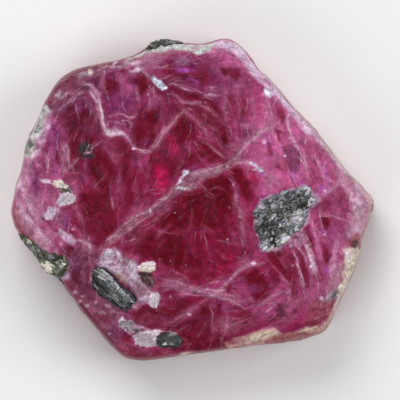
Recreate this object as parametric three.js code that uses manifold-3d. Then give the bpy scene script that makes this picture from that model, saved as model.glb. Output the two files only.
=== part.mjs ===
// A ruby slice: one slab sawn across a six-sided corundum crystal, lying on its sawn back.
//
// Its walls are the crystal's own natural faces, with growth steps. The front is ground and bevelled, and
// keeps the low ledges where the crystal parted, shallow dishes, and pits in which dark mica and hornblende
// crystals and pale feldspar grew. All of it formed as one stone, so it is one closed solid.
//
// Millimetres, +Z up. The origin is at the middle of the sawn back; +X runs along the longest way across.

import * as THREE from "three";
import { mergeVertices } from "three/addons/utils/BufferGeometryUtils.js";
import Module from "manifold-3d";

const wasm = await Module();
wasm.setup();

// ---- Driving dimensions ----------------------------------------------------------------------------------

const THICKNESS = 3.6; // between the sawn back and the front's middle
const CROWN = 0.12; // how much lower the ground front is near its edge
const HALF_WIDTH = 9.15; // from the middle to the farthest corner

// The widest section, counter-clockwise: x, y, and how wide the front's bevel is there.
const OUTLINE = [
  [-8.72, -1.83, 0.75], [-7.93, -2.83, 0.8], [-7.43, -3.58, 0.65], [-6.73, -4.05, 0.55],
  [-5.62, -5.62, 0.45], [-4.33, -7.12, 0.45], [-3.58, -7.85, 0.5], [-2.83, -8.1, 0.5],
  [-1.88, -8.05, 0.4], [0.62, -7.73, 0.4], [3.12, -7.38, 0.55], [5.28, -7.15, 0.55],
  [6.08, -6.9, 0.6], [6.78, -6.53, 0.7], [7.38, -5.28, 0.7], [8.22, -3.43, 0.75],
  [8.62, -1.93, 1.0], [8.97, -1.03, 1.2], [9.15, -0.18, 1.2], [8.68, 0.53, 0.9],
  [7.68, 1.62, 0.5], [6.18, 3.53, 0.45], [5.03, 4.75, 0.45], [3.88, 6.12, 0.45],
  [3.43, 6.48, 0.55], [2.62, 7.58, 0.7], [2.02, 8.03, 0.7], [1.38, 8.1, 0.6],
  [0.58, 7.9, 0.45], [-0.73, 7.93, 0.5], [-1.48, 8.05, 0.7], [-2.08, 7.9, 0.8],
  [-2.48, 7.55, 0.6], [-3.23, 7.2, 0.5], [-4.53, 6.9, 0.5], [-5.83, 6.6, 0.7],
  [-6.58, 6.18, 0.8], [-7.12, 5.53, 0.7], [-7.53, 4.78, 0.6], [-7.83, 4.03, 0.5],
  [-8.38, 2.93, 0.5], [-8.62, 1.68, 0.45], [-8.97, 0.48, 0.4], [-9.15, -0.73, 0.4],
];

// The wall from the back up: its height, how far it stands in from the widest section, and what share of a
// growth step it stands back.
const WALL = [
  { height: 0, inset: 0.4, step: 0 },
  { height: 0.14, inset: 0.17, step: 0 },
  { height: 0.42, inset: 0.04, step: 0 },
  { height: 1.05, inset: 0, step: 0 },
  { height: 1.13, inset: 0, step: 1 },
  { height: 1.75, inset: 0.02, step: 1 },
  { height: 1.82, inset: 0.02, step: 0.3 },
  { height: 2.5, inset: 0.09, step: 0.6 },
];
const WALL_TOP_INSET = 0.14; // where the front's bevel begins
const GROWTH_STEP = 0.1; // the deepest growth step on the wall
const STEP_WANDER = 0.5; // how far the steps run up and down the wall

// The bevel between the wall and the front: the share of its width crossed, and how far below the front it is
// there, as a share of its width.
const BEVEL = [
  { share: 0.08, drop: 0.62 },
  { share: 0.42, drop: 0.3 },
];

const SWELL = 0.035; // height of the front's uneven swell
const FINEST_DETAIL = 0.012; // flatter or shorter than this is left out
const GRID = 0.004; // corners are rounded to this
const FRONT_RINGS = 25; // ring k holds 6k points, so its triangles stay even from the middle to the edge
const BACK_RINGS = 11;
const SEED = 3; // of the crystals' random places

// Shallow dishes in the front, where clear ruby was ground lower: x, y, half length, half width, turn, depth.
const DISHES = [
  [0.63, -0.78, 1.9, 1.5, 0, 0.11],
  [-0.73, -2.43, 1.2, 1.2, 0, 0.08],
  [0.63, -3.43, 1.3, 0.9, 0, 0.06],
  [-4.63, -1.43, 1.0, 1.1, 0, 0.08],
  [-4.78, 1.88, 0.9, 0.8, 0, 0.07],
  [-5.53, 4.08, 1.0, 1.3, 0, 0.09],
  [-2.33, 3.73, 1.0, 0.9, 0, 0.09],
  [1.13, 3.73, 1.7, 0.7, -50, 0.07],
  [2.88, -4.43, 1.3, 0.9, 10, 0.09],
  [2.53, 0.88, 0.9, 0.5, 75, 0.08],
  [7.13, -0.18, 0.8, 0.7, 0, 0.07],
  [4.63, -3.13, 1.0, 1.0, 0, 0.06],
  [1.13, -6.13, 1.6, 0.6, 0, 0.06],
];

// Ledges where the crystal parted: the step's height, how far it reaches, and the line it follows, point by
// point. The front is higher on the left of the line.
const LEDGES = [
  {
    step: 0.16,
    reach: 0.9,
    xs: [-4.4, -3.2, -2.1, -0.9, 0.4, 1.7, 2.6, 4.0],
    ys: [-2.2, -1.1, -0.7, 0.3, 1.2, 1.7, 2.8, 3.9],
  },
  {
    step: -0.14,
    reach: 0.8,
    xs: [-5.6, -5.1, -4.7, -4.4, -3.7, -3.2, -2.7, -2.1, -1.5, -0.4, 0.6],
    ys: [5.8, 5.7, 5.0, 3.6, 3.4, 3.1, 2.4, 2.4, 3.3, 4.5, 3.6],
  },
  {
    step: 0.1,
    reach: 0.7,
    xs: [-4.6, -3.2, -2.5, -1.6, -1.2, -0.6, 0.1],
    ys: [6.6, 6.5, 6.4, 5.6, 5.2, 5.1, 4.8],
  },
  { step: 0.1, reach: 0.8, xs: [-1.9, -0.1, 1.8, 2.8], ys: [-4.3, -4.6, -5.0, -5.6] },
  { step: -0.09, reach: 0.7, xs: [-1.0, 0.4, 1.5, 2.5, 3.5], ys: [-6.1, -5.2, -4.4, -3.4, -3.2] },
  { step: 0.09, reach: 0.6, xs: [4.8, 4.9, 5.6], ys: [4.4, 3.3, 2.0] },
  { step: -0.1, reach: 0.6, xs: [5.4, 6.0, 6.3], ys: [-1.5, -2.9, -4.0] },
];
const LEDGE_SHARPNESS = 0.09; // half the width of a ledge's riser

// Dark crystals on the front: where they sit, the patch's length, width and turn, its pit's depth, how many
// crystals fill it, and whether they are laths side by side or plates at all angles.
const DARK_PATCHES = [
  { at: [4.58, -0.83], size: [3.0, 1.95], turn: 41, pit: 0.24, count: 24, habit: "plates" },
  { at: [-3.83, -4.48], size: [2.75, 1.2], turn: -40, pit: 0.22, count: 8, habit: "laths" },
  { at: [-1.23, -7.03], size: [1.05, 0.75], turn: -4, pit: 0.16, count: 5, habit: "laths" },
  { at: [-6.53, -3.18], size: [0.75, 0.7], turn: 15, pit: 0.12, count: 5, habit: "plates" },
  { at: [-2.28, -3.98], size: [0.9, 0.5], turn: -35, pit: 0.12, count: 4, habit: "laths" },
  { at: [-6.33, 0.58], size: [0.75, 0.35], turn: -20, pit: 0.1, count: 3, habit: "laths" },
];

// Dark crystals grown on the wall: where, at what height, the patch's length and turn, and their number.
const WALL_PATCHES = [
  { at: [-7.62, -2.86], height: 2.2, length: 2.8, turn: -43, count: 8 },
  { at: [-1.63, 7.72], height: 1.6, length: 1.2, turn: 4, count: 5 },
  { at: [-8.12, 2.78], height: 2.5, length: 0.8, turn: 66, count: 3 },
  { at: [8.12, -2.2], height: 2.5, length: 0.5, turn: 70, count: 2 },
  { at: [7.2, -4.75], height: 2.5, length: 0.8, turn: 62, count: 3 },
];

// Pale feldspar set in the front: x, y, length, width, turn, and how proud of the front it stands.
const FRONT_GRAINS = [
  [-4.05, -2.8, 1.1, 0.8, 20, 0.06],
  [-3.2, -3.5, 1.2, 0.8, -30, 0.05],
  [-2.25, -3.4, 0.95, 0.55, 4, 0.07],
  [-1.95, -4.95, 0.7, 0.9, -15, 0.06],
  [-2.75, -4.6, 0.8, 0.6, -40, 0.04],
  [-2.25, -7.0, 1.3, 0.75, 3, 0.05],
  [-3.35, -6.25, 0.9, 0.42, -30, 0.05],
  [-6.6, 0.88, 0.85, 0.32, -25, 0.07],
  [-6.35, -0.02, 0.8, 0.7, 10, 0.06],
  [-7.08, -0.68, 0.5, 0.7, -20, 0.05],
  [-6.15, -2.05, 0.7, 0.42, -25, 0.05],
  [-0.47, 1.2, 0.4, 0.5, 20, 0.05],
  [-1.75, 5.85, 0.85, 0.35, -42, 0.06],
];

const FRONT_GRAIN_DEPTH = 0.5;

// Pale skin of feldspar left on the wall and the bevel: x, y, height, length, width, rise, turn.
const WALL_GRAINS = [
  [-7.78, 3.95, 2.95, 1.3, 0.5, 0.7, 65],
  [-8.15, 3.05, 2.9, 1.0, 0.5, 0.8, 62],
  [-2.3, 7.15, 2.95, 1.6, 0.5, 0.6, 10],
  [-0.75, 7.5, 2.85, 1.4, 0.5, 0.7, 2],
  [0.55, 7.45, 2.9, 1.3, 0.5, 0.7, 0],
  [2.1, 7.4, 2.7, 1.0, 0.6, 0.9, -20],
  [7.98, -2.7, 2.6, 1.0, 0.6, 0.9, 72],
  [7.75, -3.7, 2.5, 1.2, 0.55, 1.1, 68],
  [3.3, -6.85, 2.9, 1.7, 0.5, 0.7, 8],
  [4.5, -6.7, 2.8, 1.1, 0.55, 0.8, 6],
  [5.9, -6.5, 2.6, 1.2, 0.6, 0.9, 18],
  [-0.3, -7.55, 3.0, 1.0, 0.4, 0.5, 6],
];

// Shallow chips in the sawn back, clear of its middle: x, y, radius, depth.
const BACK_CHIPS = [
  [-4.6, 3.1, 1.5, 0.16],
  [3.9, 4.3, 1.1, 0.12],
  [5.4, -2.6, 1.7, 0.18],
  [-2.2, -5.4, 1.3, 0.14],
  [-6.3, -1.2, 0.9, 0.12],
];

// ---- Small helpers ---------------------------------------------------------------------------------------

const GOLDEN_ANGLE = Math.PI * (3 - Math.sqrt(5)); // successive turns by it never line up

const { clamp, degToRad, lerp, seededRandom, smoothstep } = THREE.MathUtils;

// A low uneven swell of height about 1, the same wherever it is asked for again.
function swell(x, y) {
  return (
    0.5 * Math.sin(0.9 * x + 1.7 * y + 0.6) +
    0.3 * Math.sin(2.1 * x - 1.3 * y + 2.2) +
    0.2 * Math.sin(3.7 * x + 2.9 * y + 4.1)
  );
}

// How far (x, y) is from a patch's middle, where 1 is its edge.
function patchDistance(x, y, [cx, cy], [length, width], turn) {
  const c = Math.cos(degToRad(turn));
  const s = Math.sin(degToRad(turn));
  const along = (x - cx) * c + (y - cy) * s;
  const across = (y - cy) * c - (x - cx) * s;
  return Math.hypot(along / (length / 2), across / (width / 2));
}

// How far (x, y) is from a line of points, on which side, and what share of the line it is along.
function fromLine(x, y, xs, ys) {
  const last = xs.length - 1;
  let nearest = { distance: Infinity };
  for (let i = 0; i < last; i++) {
    const dx = xs[i + 1] - xs[i];
    const dy = ys[i + 1] - ys[i];
    const t = clamp(((x - xs[i]) * dx + (y - ys[i]) * dy) / (dx * dx + dy * dy), 0, 1);
    const distance = Math.hypot(x - xs[i] - t * dx, y - ys[i] - t * dy);
    if (distance < nearest.distance) {
      const side = dx * (y - ys[i]) > dy * (x - xs[i]) ? 1 : -1;
      nearest = { distance, side, share: (i + t) / last };
    }
  }
  return nearest;
}

// A closed geometry as a manifold-3d solid.
function solidOf(geometry) {
  geometry.deleteAttribute("normal");
  geometry.deleteAttribute("uv");
  const merged = mergeVertices(geometry, 1e-5);
  return new wasm.Manifold(
    new wasm.Mesh({
      numProp: 3,
      vertProperties: merged.attributes.position.array,
      triVerts: new Uint32Array(merged.index.array),
    }),
  );
}

// A solid's outer skin alone, so that gaps sealed under crystals are filled.
function outerSkin(solid) {
  return solid.decompose().reduce((a, b) => (a.volume() > b.volume() ? a : b));
}

// The same solid with its corners moved to a fine grid, so that no two of them nearly touch.
function onGrid(solid) {
  const { vertProperties, triVerts } = solid.getMesh();
  const geometry = new THREE.BufferGeometry();
  const rounded = vertProperties.map((v) => Math.round(v / GRID) * GRID);
  geometry.setAttribute("position", new THREE.BufferAttribute(rounded, 3));
  geometry.setIndex(new THREE.BufferAttribute(triVerts, 1));
  return solidOf(geometry);
}

// ---- The slab --------------------------------------------------------------------------------------------

// Height of the ground front over (x, y), before any crystal is added.
function frontHeight(x, y) {
  let height = THICKNESS - CROWN * ((x * x + y * y) / HALF_WIDTH ** 2) + SWELL * swell(x, y);
  for (const [cx, cy, a, b, turn, depth] of DISHES) {
    height -= depth * Math.exp(-(patchDistance(x, y, [cx, cy], [2 * a, 2 * b], turn) ** 2));
  }
  for (const { step, reach, xs, ys } of LEDGES) {
    const { distance, side, share } = fromLine(x, y, xs, ys);
    const taper = Math.sqrt(Math.sin(Math.PI * share));
    const riser = Math.tanh(distance / LEDGE_SHARPNESS) * Math.exp(-distance / reach);
    height += side * (step / 2) * taper * riser;
  }
  for (const { at, size, turn, pit } of DARK_PATCHES) {
    height -= pit * (1 - smoothstep(patchDistance(x, y, at, size, turn), 0.75, 1.2));
  }
  return height;
}

// Height of the back over (x, y): flat where it was sawn, and hollow in its few chips.
function backHeight(x, y) {
  let height = 0;
  for (const [cx, cy, radius, depth] of BACK_CHIPS) {
    height += depth * (1 - smoothstep(Math.hypot(x - cx, y - cy) / radius, 0.3, 1));
  }
  return height;
}

// The widest section at `count` even places: each one's point, the way in from it, and the bevel's width.
function edgePlaces(count) {
  const curve = new THREE.CatmullRomCurve3(
    OUTLINE.map(([x, y, bevel]) => new THREE.Vector3(x, y, bevel)),
    true,
    "catmullrom",
    0.5,
  );
  return Array.from({ length: count }, (_, i) => {
    const point = curve.getPointAt(i / count);
    const tangent = curve.getTangentAt(i / count);
    const inward = new THREE.Vector2(-tangent.y, tangent.x).normalize();
    return { x: point.x, y: point.y, inward, bevel: point.z };
  });
}

// The point at an edge place that stands `inset` in from the widest section.
function insetPoint({ x, y, inward }, inset) {
  return [x + inward.x * inset, y + inward.y * inset];
}

// Depth of the growth steps at a share of the way round the wall, where they come and go.
function growthStep(around) {
  const turn = 2 * Math.PI * around;
  const wave = Math.sin(3 * turn + 1) + 0.8 * Math.sin(7 * turn) + 0.4 * Math.sin(16 * turn);
  return GROWTH_STEP * smoothstep(wave, 0, 1.2);
}

// Height of a level of the wall there: the steps run a little up and down between its two rims.
function wanderingHeight(height, around) {
  const turn = 2 * Math.PI * around;
  const wave = 0.6 * Math.sin(2 * turn + 0.5) + 0.4 * Math.sin(5 * turn + 2);
  const share = height / THICKNESS;
  return height + STEP_WANDER * wave * share * (1 - share);
}

// The slab as one closed geometry: front rings, wall rings and back rings, each stitched to the next.
function slabGeometry() {
  const positions = [];
  const faces = [];

  const addRing = (points) => {
    const first = positions.length / 3;
    positions.push(...points.flat());
    return { first, count: points.length };
  };

  // Joins two rings of any counts, walking round both together. Faces turn outwards as `a` lies inside `b`
  // on the front, and the other way about on the back. A ring of one point gives no faces of its own.
  const stitch = (a, b) => {
    let i = 0;
    let j = 0;
    while (i < a.count || j < b.count) {
      const corners = [a.first + (i % a.count), b.first + (j % b.count)];
      if (i === a.count || (j < b.count && (j + 0.5) * a.count < (i + 0.5) * b.count)) {
        j++;
        corners.push(b.first + (j % b.count));
      } else {
        i++;
        corners.push(a.first + (i % a.count));
      }
      if (new Set(corners).size === 3) faces.push(...corners);
    }
  };

  // One ring of a face: `share` of the way out to the points where that face meets the wall.
  const faceRing = (count, share, inset, heightAt) =>
    edgePlaces(count).map((place) => {
      const [x, y] = insetPoint(place, inset(place)).map((v) => v * share);
      return [x, y, heightAt(x, y)];
    });

  const frontInset = (place) => WALL_TOP_INSET + place.bevel;
  const backInset = () => WALL[0].inset;

  let last = addRing([[0, 0, frontHeight(0, 0)]]);
  for (let k = 1; k <= FRONT_RINGS; k++) {
    const ring = addRing(faceRing(6 * k, k / FRONT_RINGS, frontInset, frontHeight));
    stitch(last, ring);
    last = ring;
  }

  const places = edgePlaces(6 * FRONT_RINGS);
  for (const { share, drop } of [...BEVEL].reverse()) {
    const points = places.map((place) => {
      const z = frontHeight(...insetPoint(place, frontInset(place))) - drop * place.bevel;
      return [...insetPoint(place, WALL_TOP_INSET + share * place.bevel), z];
    });
    const ring = addRing(points);
    stitch(last, ring);
    last = ring;
  }
  for (const { height, inset, step } of [...WALL].reverse()) {
    const points = places.map((place, i) => {
      const around = i / places.length;
      return [...insetPoint(place, inset + step * growthStep(around)), wanderingHeight(height, around)];
    });
    const ring = addRing(points);
    stitch(last, ring);
    last = ring;
  }

  for (let k = BACK_RINGS - 1; k >= 1; k--) {
    const ring = addRing(faceRing(6 * k, k / BACK_RINGS, backInset, backHeight));
    stitch(last, ring);
    last = ring;
  }
  stitch(last, addRing([[0, 0, backHeight(0, 0)]]));

  const geometry = new THREE.BufferGeometry();
  geometry.setAttribute("position", new THREE.Float32BufferAttribute(positions, 3));
  geometry.setIndex(faces);
  return geometry;
}

// ---- Crystals in and on the slab -------------------------------------------------------------------------

// A six-sided prism lying along X, flattened in Z, with one end narrower: a lath of hornblende or mica.
function lath(length, width, thickness) {
  const prism = new THREE.CylinderGeometry(width / 2, (0.8 * width) / 2, length, 6);
  return prism.rotateZ(Math.PI / 2).scale(1, 1, thickness / width);
}

// A six-sided mica plate lying flat.
function plate(width, thickness) {
  return new THREE.CylinderGeometry(width / 2, (0.85 * width) / 2, thickness, 6).rotateX(Math.PI / 2);
}

// A blunt lump of feldspar with flat cleavage faces.
function grain(length, width, rise) {
  return new THREE.IcosahedronGeometry(1, 0).scale(length / 2, width / 2, rise / 2);
}

// Laths side by side across a dark patch, unevenly thick, a little tilted and shifted.
function* lathBundle({ size: [length, width], pit, count }) {
  for (let i = 0; i < count; i++) {
    const [r1, r2, r3] = [seededRandom(), seededRandom(), seededRandom()];
    const share = width / count;
    const laid = lath(lerp(0.65, 0.95, r1) * length, lerp(1.3, 2.1, r2) * share, lerp(1.6, 2.3, r3) * pit);
    yield {
      crystal: laid.rotateX(lerp(-0.35, 0.35, r3)).rotateZ(lerp(-0.06, 0.06, r1)),
      along: lerp(-0.08, 0.08, r2) * length,
      across: width * 0.9 * ((i + 0.5) / count - 0.5),
      lift: lerp(0.15, 0.5, r3) * pit,
    };
  }
}

// Plates at all angles, spread evenly over a dark patch.
function* plateCluster({ size: [length, width], pit, count }) {
  for (let i = 0; i < count; i++) {
    const [r1, r2, r3] = [seededRandom(), seededRandom(), seededRandom()];
    const angle = GOLDEN_ANGLE * i;
    const out = 0.42 * Math.sqrt((i + 0.5) / count);
    const flat = plate(lerp(0.45, 0.8, r1), 0.16);
    yield {
      crystal: flat.rotateX(lerp(-0.6, 0.6, r2)).rotateY(lerp(-0.6, 0.6, r3)).rotateZ(angle),
      along: out * length * Math.cos(angle),
      across: out * width * Math.sin(angle),
      lift: lerp(0.15, 0.5, r3) * pit,
    };
  }
}

// The crystals that fill one dark patch of the front, their tops about level with it.
function* frontCrystals(patch) {
  const { at, turn, habit } = patch;
  const grown = habit === "laths" ? lathBundle(patch) : plateCluster(patch);
  for (const { crystal, along, across, lift } of grown) {
    const [x, y] = patchPoint(at, along, across, turn);
    yield crystal.rotateZ(degToRad(turn)).translate(x, y, frontHeight(x, y) + lift);
  }
}

// Where a point given along and across a patch lies.
function patchPoint([cx, cy], along, across, turn) {
  const c = Math.cos(degToRad(turn));
  const s = Math.sin(degToRad(turn));
  return [cx + along * c - across * s, cy + along * s + across * c];
}

// The dark laths grown along one stretch of the wall, standing on each other.
function* wallCrystals({ at, height, length, turn, count }) {
  for (let i = 0; i < count; i++) {
    const [r1, r2, r3] = [seededRandom(), seededRandom(), seededRandom()];
    const along = length * ((i + 0.5) / count - 0.5) * 0.85;
    const [x, y] = patchPoint(at, along, lerp(-0.05, 0.05, r1), turn);
    yield lath(lerp(0.5, 0.9, r2), 0.42, 0.38)
      .rotateY(lerp(-0.7, 0.7, r3))
      .rotateZ(degToRad(turn) + lerp(-0.15, 0.15, r1))
      .translate(x, y, height + lerp(-0.5, 0.5, r2));
  }
}

// Every crystal and grain, each as a closed geometry that reaches into the slab.
function* crystals() {
  seededRandom(SEED);
  for (const patch of DARK_PATCHES) yield* frontCrystals(patch);
  for (const patch of WALL_PATCHES) yield* wallCrystals(patch);
  for (const [x, y, length, width, turn, proud] of FRONT_GRAINS) {
    yield grain(length, width, FRONT_GRAIN_DEPTH)
      .rotateZ(degToRad(turn))
      .translate(x, y, frontHeight(x, y) + proud - FRONT_GRAIN_DEPTH / 2);
  }
  for (const [x, y, height, length, width, rise, turn] of WALL_GRAINS) {
    yield grain(length, width, rise).rotateZ(degToRad(turn)).translate(x, y, height);
  }
}

// ---- The finished stone ----------------------------------------------------------------------------------

// The slab with its crystals fused on, moved so that its box stands on the origin.
function rubySlice() {
  const slab = solidOf(slabGeometry());
  const stone = [...crystals()].map(solidOf).reduce((whole, crystal) => whole.add(crystal), slab);
  const clean = outerSkin(onGrid(outerSkin(stone.simplify(FINEST_DETAIL))));
  const { vertProperties, triVerts } = clean.getMesh();
  const geometry = new THREE.BufferGeometry();
  geometry.setAttribute("position", new THREE.BufferAttribute(vertProperties, 3));
  geometry.setIndex(new THREE.BufferAttribute(triVerts, 1));
  geometry.computeBoundingBox();
  const { min, max } = geometry.boundingBox;
  geometry.translate(-(min.x + max.x) / 2, -(min.y + max.y) / 2, -min.z);
  geometry.computeVertexNormals();

  const material = new THREE.MeshStandardMaterial({ color: 0x8f2a55, roughness: 0.3, metalness: 0 });
  const mesh = new THREE.Mesh(geometry, material);
  mesh.name = "ruby_slice";
  return mesh;
}

const group = new THREE.Group();
group.add(rubySlice());
export default group;
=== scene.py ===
"""A natural ruby slice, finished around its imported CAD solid.

The stone is one translucent, veined ruby body with dark mica and hornblende crystals and pale feldspar grown
into it. It lies on its sawn back, and the camera looks straight down on its ground front.
"""

import logging
import math
import re
from collections.abc import Sequence
from dataclasses import dataclass, replace
from enum import Enum
from itertools import product

import bpy
import numpy as np
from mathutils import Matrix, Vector


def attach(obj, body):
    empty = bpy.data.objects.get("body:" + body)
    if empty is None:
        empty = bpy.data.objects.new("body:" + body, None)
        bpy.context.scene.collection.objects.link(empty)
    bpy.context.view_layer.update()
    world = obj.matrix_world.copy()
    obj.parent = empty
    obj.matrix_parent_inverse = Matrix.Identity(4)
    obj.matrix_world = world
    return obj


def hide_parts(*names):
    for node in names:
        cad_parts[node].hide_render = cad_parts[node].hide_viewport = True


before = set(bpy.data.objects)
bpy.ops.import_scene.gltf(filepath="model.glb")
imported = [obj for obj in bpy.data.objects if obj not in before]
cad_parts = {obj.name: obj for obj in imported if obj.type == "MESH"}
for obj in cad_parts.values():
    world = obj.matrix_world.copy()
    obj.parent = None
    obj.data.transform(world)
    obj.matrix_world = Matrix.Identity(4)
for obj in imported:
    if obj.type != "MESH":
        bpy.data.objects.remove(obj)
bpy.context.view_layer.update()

LOG = logging.getLogger("ruby_slice")

MM = 0.001
BODY = "root"
SEED = 11

# Marks are placed on a plan of the front: 20 steps to a millimetre, u to the right and v down, and these are
# the plan's steps at the middle of the stone.
PLAN_STEPS_PER_MM = 20.0
PLAN_MIDDLE = (192.5, 199.5)

# ---- The stone's own dimensions, in millimetres, as in its CAD source -------------------------------------

THICKNESS = 3.6
CROWN = 0.12
HALF_WIDTH = 9.15
SWELL = 0.035
WALL_TOP_INSET = 0.14
GROWTH_STEP = 0.1
STEP_WANDER = 0.5
LEDGE_SHARPNESS = 0.09

# The widest section, counter-clockwise: x, y, and how wide the front's bevel is there.
OUTLINE = (
    (-8.72, -1.83, 0.75), (-7.93, -2.83, 0.8), (-7.43, -3.58, 0.65), (-6.73, -4.05, 0.55),
    (-5.62, -5.62, 0.45), (-4.33, -7.12, 0.45), (-3.58, -7.85, 0.5), (-2.83, -8.1, 0.5),
    (-1.88, -8.05, 0.4), (0.62, -7.73, 0.4), (3.12, -7.38, 0.55), (5.28, -7.15, 0.55),
    (6.08, -6.9, 0.6), (6.78, -6.53, 0.7), (7.38, -5.28, 0.7), (8.22, -3.43, 0.75),
    (8.62, -1.93, 1.0), (8.97, -1.03, 1.2), (9.15, -0.18, 1.2), (8.68, 0.53, 0.9),
    (7.68, 1.62, 0.5), (6.18, 3.53, 0.45), (5.03, 4.75, 0.45), (3.88, 6.12, 0.45),
    (3.43, 6.48, 0.55), (2.62, 7.58, 0.7), (2.02, 8.03, 0.7), (1.38, 8.1, 0.6),
    (0.58, 7.9, 0.45), (-0.73, 7.93, 0.5), (-1.48, 8.05, 0.7), (-2.08, 7.9, 0.8),
    (-2.48, 7.55, 0.6), (-3.23, 7.2, 0.5), (-4.53, 6.9, 0.5), (-5.83, 6.6, 0.7),
    (-6.58, 6.18, 0.8), (-7.12, 5.53, 0.7), (-7.53, 4.78, 0.6), (-7.83, 4.03, 0.5),
    (-8.38, 2.93, 0.5), (-8.62, 1.68, 0.45), (-8.97, 0.48, 0.4), (-9.15, -0.73, 0.4),
)

# Levels of the wall from the back up: height, inset from the widest section, share of a growth step.
WALL = (
    (0.0, 0.4, 0.0), (0.14, 0.17, 0.0), (0.42, 0.04, 0.0), (1.05, 0.0, 0.0),
    (1.13, 0.0, 1.0), (1.75, 0.02, 1.0), (1.82, 0.02, 0.3), (2.5, 0.09, 0.6),
)
# Levels of the bevel: share of its width crossed, and drop below the front as a share of its width.
BEVEL = ((0.08, 0.62), (0.42, 0.3), (1.0, 0.0))

# Shallow dishes in the front: x, y, half length, half width, turn in degrees, depth.
DISHES = (
    (0.63, -0.78, 1.9, 1.5, 0, 0.11), (-0.73, -2.43, 1.2, 1.2, 0, 0.08), (0.63, -3.43, 1.3, 0.9, 0, 0.06),
    (-4.63, -1.43, 1.0, 1.1, 0, 0.08), (-4.78, 1.88, 0.9, 0.8, 0, 0.07), (-5.53, 4.08, 1.0, 1.3, 0, 0.09),
    (-2.33, 3.73, 1.0, 0.9, 0, 0.09), (1.13, 3.73, 1.7, 0.7, -50, 0.07), (2.88, -4.43, 1.3, 0.9, 10, 0.09),
    (2.53, 0.88, 0.9, 0.5, 75, 0.08), (7.13, -0.18, 0.8, 0.7, 0, 0.07), (4.63, -3.13, 1.0, 1.0, 0, 0.06),
    (1.13, -6.13, 1.6, 0.6, 0, 0.06),
)

# Ledges where the crystal parted: step, reach, and the line it follows; the left of the line is higher.
LEDGES = (
    (0.16, 0.9, ((-4.4, -2.2), (-3.2, -1.1), (-2.1, -0.7), (-0.9, 0.3), (0.4, 1.2), (1.7, 1.7), (2.6, 2.8),
                 (4.0, 3.9))),
    (-0.14, 0.8, ((-5.6, 5.8), (-5.1, 5.7), (-4.7, 5.0), (-4.4, 3.6), (-3.7, 3.4), (-3.2, 3.1), (-2.7, 2.4),
                  (-2.1, 2.4), (-1.5, 3.3), (-0.4, 4.5), (0.6, 3.6))),
    (0.1, 0.7, ((-4.6, 6.6), (-3.2, 6.5), (-2.5, 6.4), (-1.6, 5.6), (-1.2, 5.2), (-0.6, 5.1), (0.1, 4.8))),
    (0.1, 0.8, ((-1.9, -4.3), (-0.1, -4.6), (1.8, -5.0), (2.8, -5.6))),
    (-0.09, 0.7, ((-1.0, -6.1), (0.4, -5.2), (1.5, -4.4), (2.5, -3.4), (3.5, -3.2))),
    (0.09, 0.6, ((4.8, 4.4), (4.9, 3.3), (5.6, 2.0))),
    (-0.1, 0.6, ((5.4, -1.5), (6.0, -2.9), (6.3, -4.0))),
)

# Pits under the dark crystals: x, y, length, width, turn in degrees, depth.
PITS = (
    (4.58, -0.83, 3.0, 1.95, 41, 0.24), (-3.83, -4.48, 2.75, 1.2, -40, 0.22),
    (-1.23, -7.03, 1.05, 0.75, -4, 0.16), (-6.53, -3.18, 0.75, 0.7, 15, 0.12),
    (-2.28, -3.98, 0.9, 0.5, -35, 0.12), (-6.33, 0.58, 0.75, 0.35, -20, 0.1),
)
# Where a pit's side runs, as shares of its half size.
PIT_SIDE = (0.75, 1.2)

# Chips in the sawn back: x, y, radius, depth.
BACK_CHIPS = (
    (-4.6, 3.1, 1.5, 0.16), (3.9, 4.3, 1.1, 0.12), (5.4, -2.6, 1.7, 0.18), (-2.2, -5.4, 1.3, 0.14),
    (-6.3, -1.2, 0.9, 0.12),
)
# Where a chip's side runs, as shares of its radius.
CHIP_SIDE = (0.3, 1.0)

# ---- How the looks change with depth, in millimetres below the front --------------------------------------

# What is in the stone runs down through it aslant: plan steps to a millimetre, and where that starts.
SLANT = (14.0, -10.0)
SLANT_FROM = 0.8
# How far what is in the stone strays from its place on the plan, in steps: at the front, and how much more
# it gains between two depths.
WANDER_AT_FRONT = 0.7
WANDER_GAINED = 10.0
WANDER_BETWEEN = (0.8, 3.4)
# The wall's own colour comes in over the first depths, and goes over the second.
WALL_BELOW = (0.45, 1.0)
WALL_ABOVE = (3.45, 3.58)
# Where the rinds come in, and where each kind of mark gives out.
RINDS_BELOW = (0.3, 0.6)
RINDS_END = (2.3, 3.2)
SKINS_END = (1.0, 2.0)
MINERALS_END = (1.1, 2.0)
LINES_END = (0.6, 1.6)

# The stone's relief: how rough it is, how deep the wall's stripes are, and how uneven the wall is.
ROUGH_MM = 0.012
STRIPE_MM = 0.012
UNEVEN_MM = 0.03

# The size of the ruffles in a ragged edge, in millimetres, and the length of a crack's splinters, in steps.
RUFFLE_MM = 0.25
SPLINTER_STEPS = 4.0
# How wide the faint glow round a vein is, and the crack in it, as shares of the vein's width.
VEIN_GLOW = 2.4
VEIN_CRACK = 0.85

Path = str | np.ndarray
Pair = tuple[float, float]
Triple = tuple[float, float, float]
Box = tuple[float, float, float, float]
Node = bpy.types.Node
Tree = bpy.types.NodeTree
Socket = bpy.types.NodeSocket
Stops = tuple[tuple[float, str], ...]


# ---- Tones and marks ---------------------------------------------------------------------------------------


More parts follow.
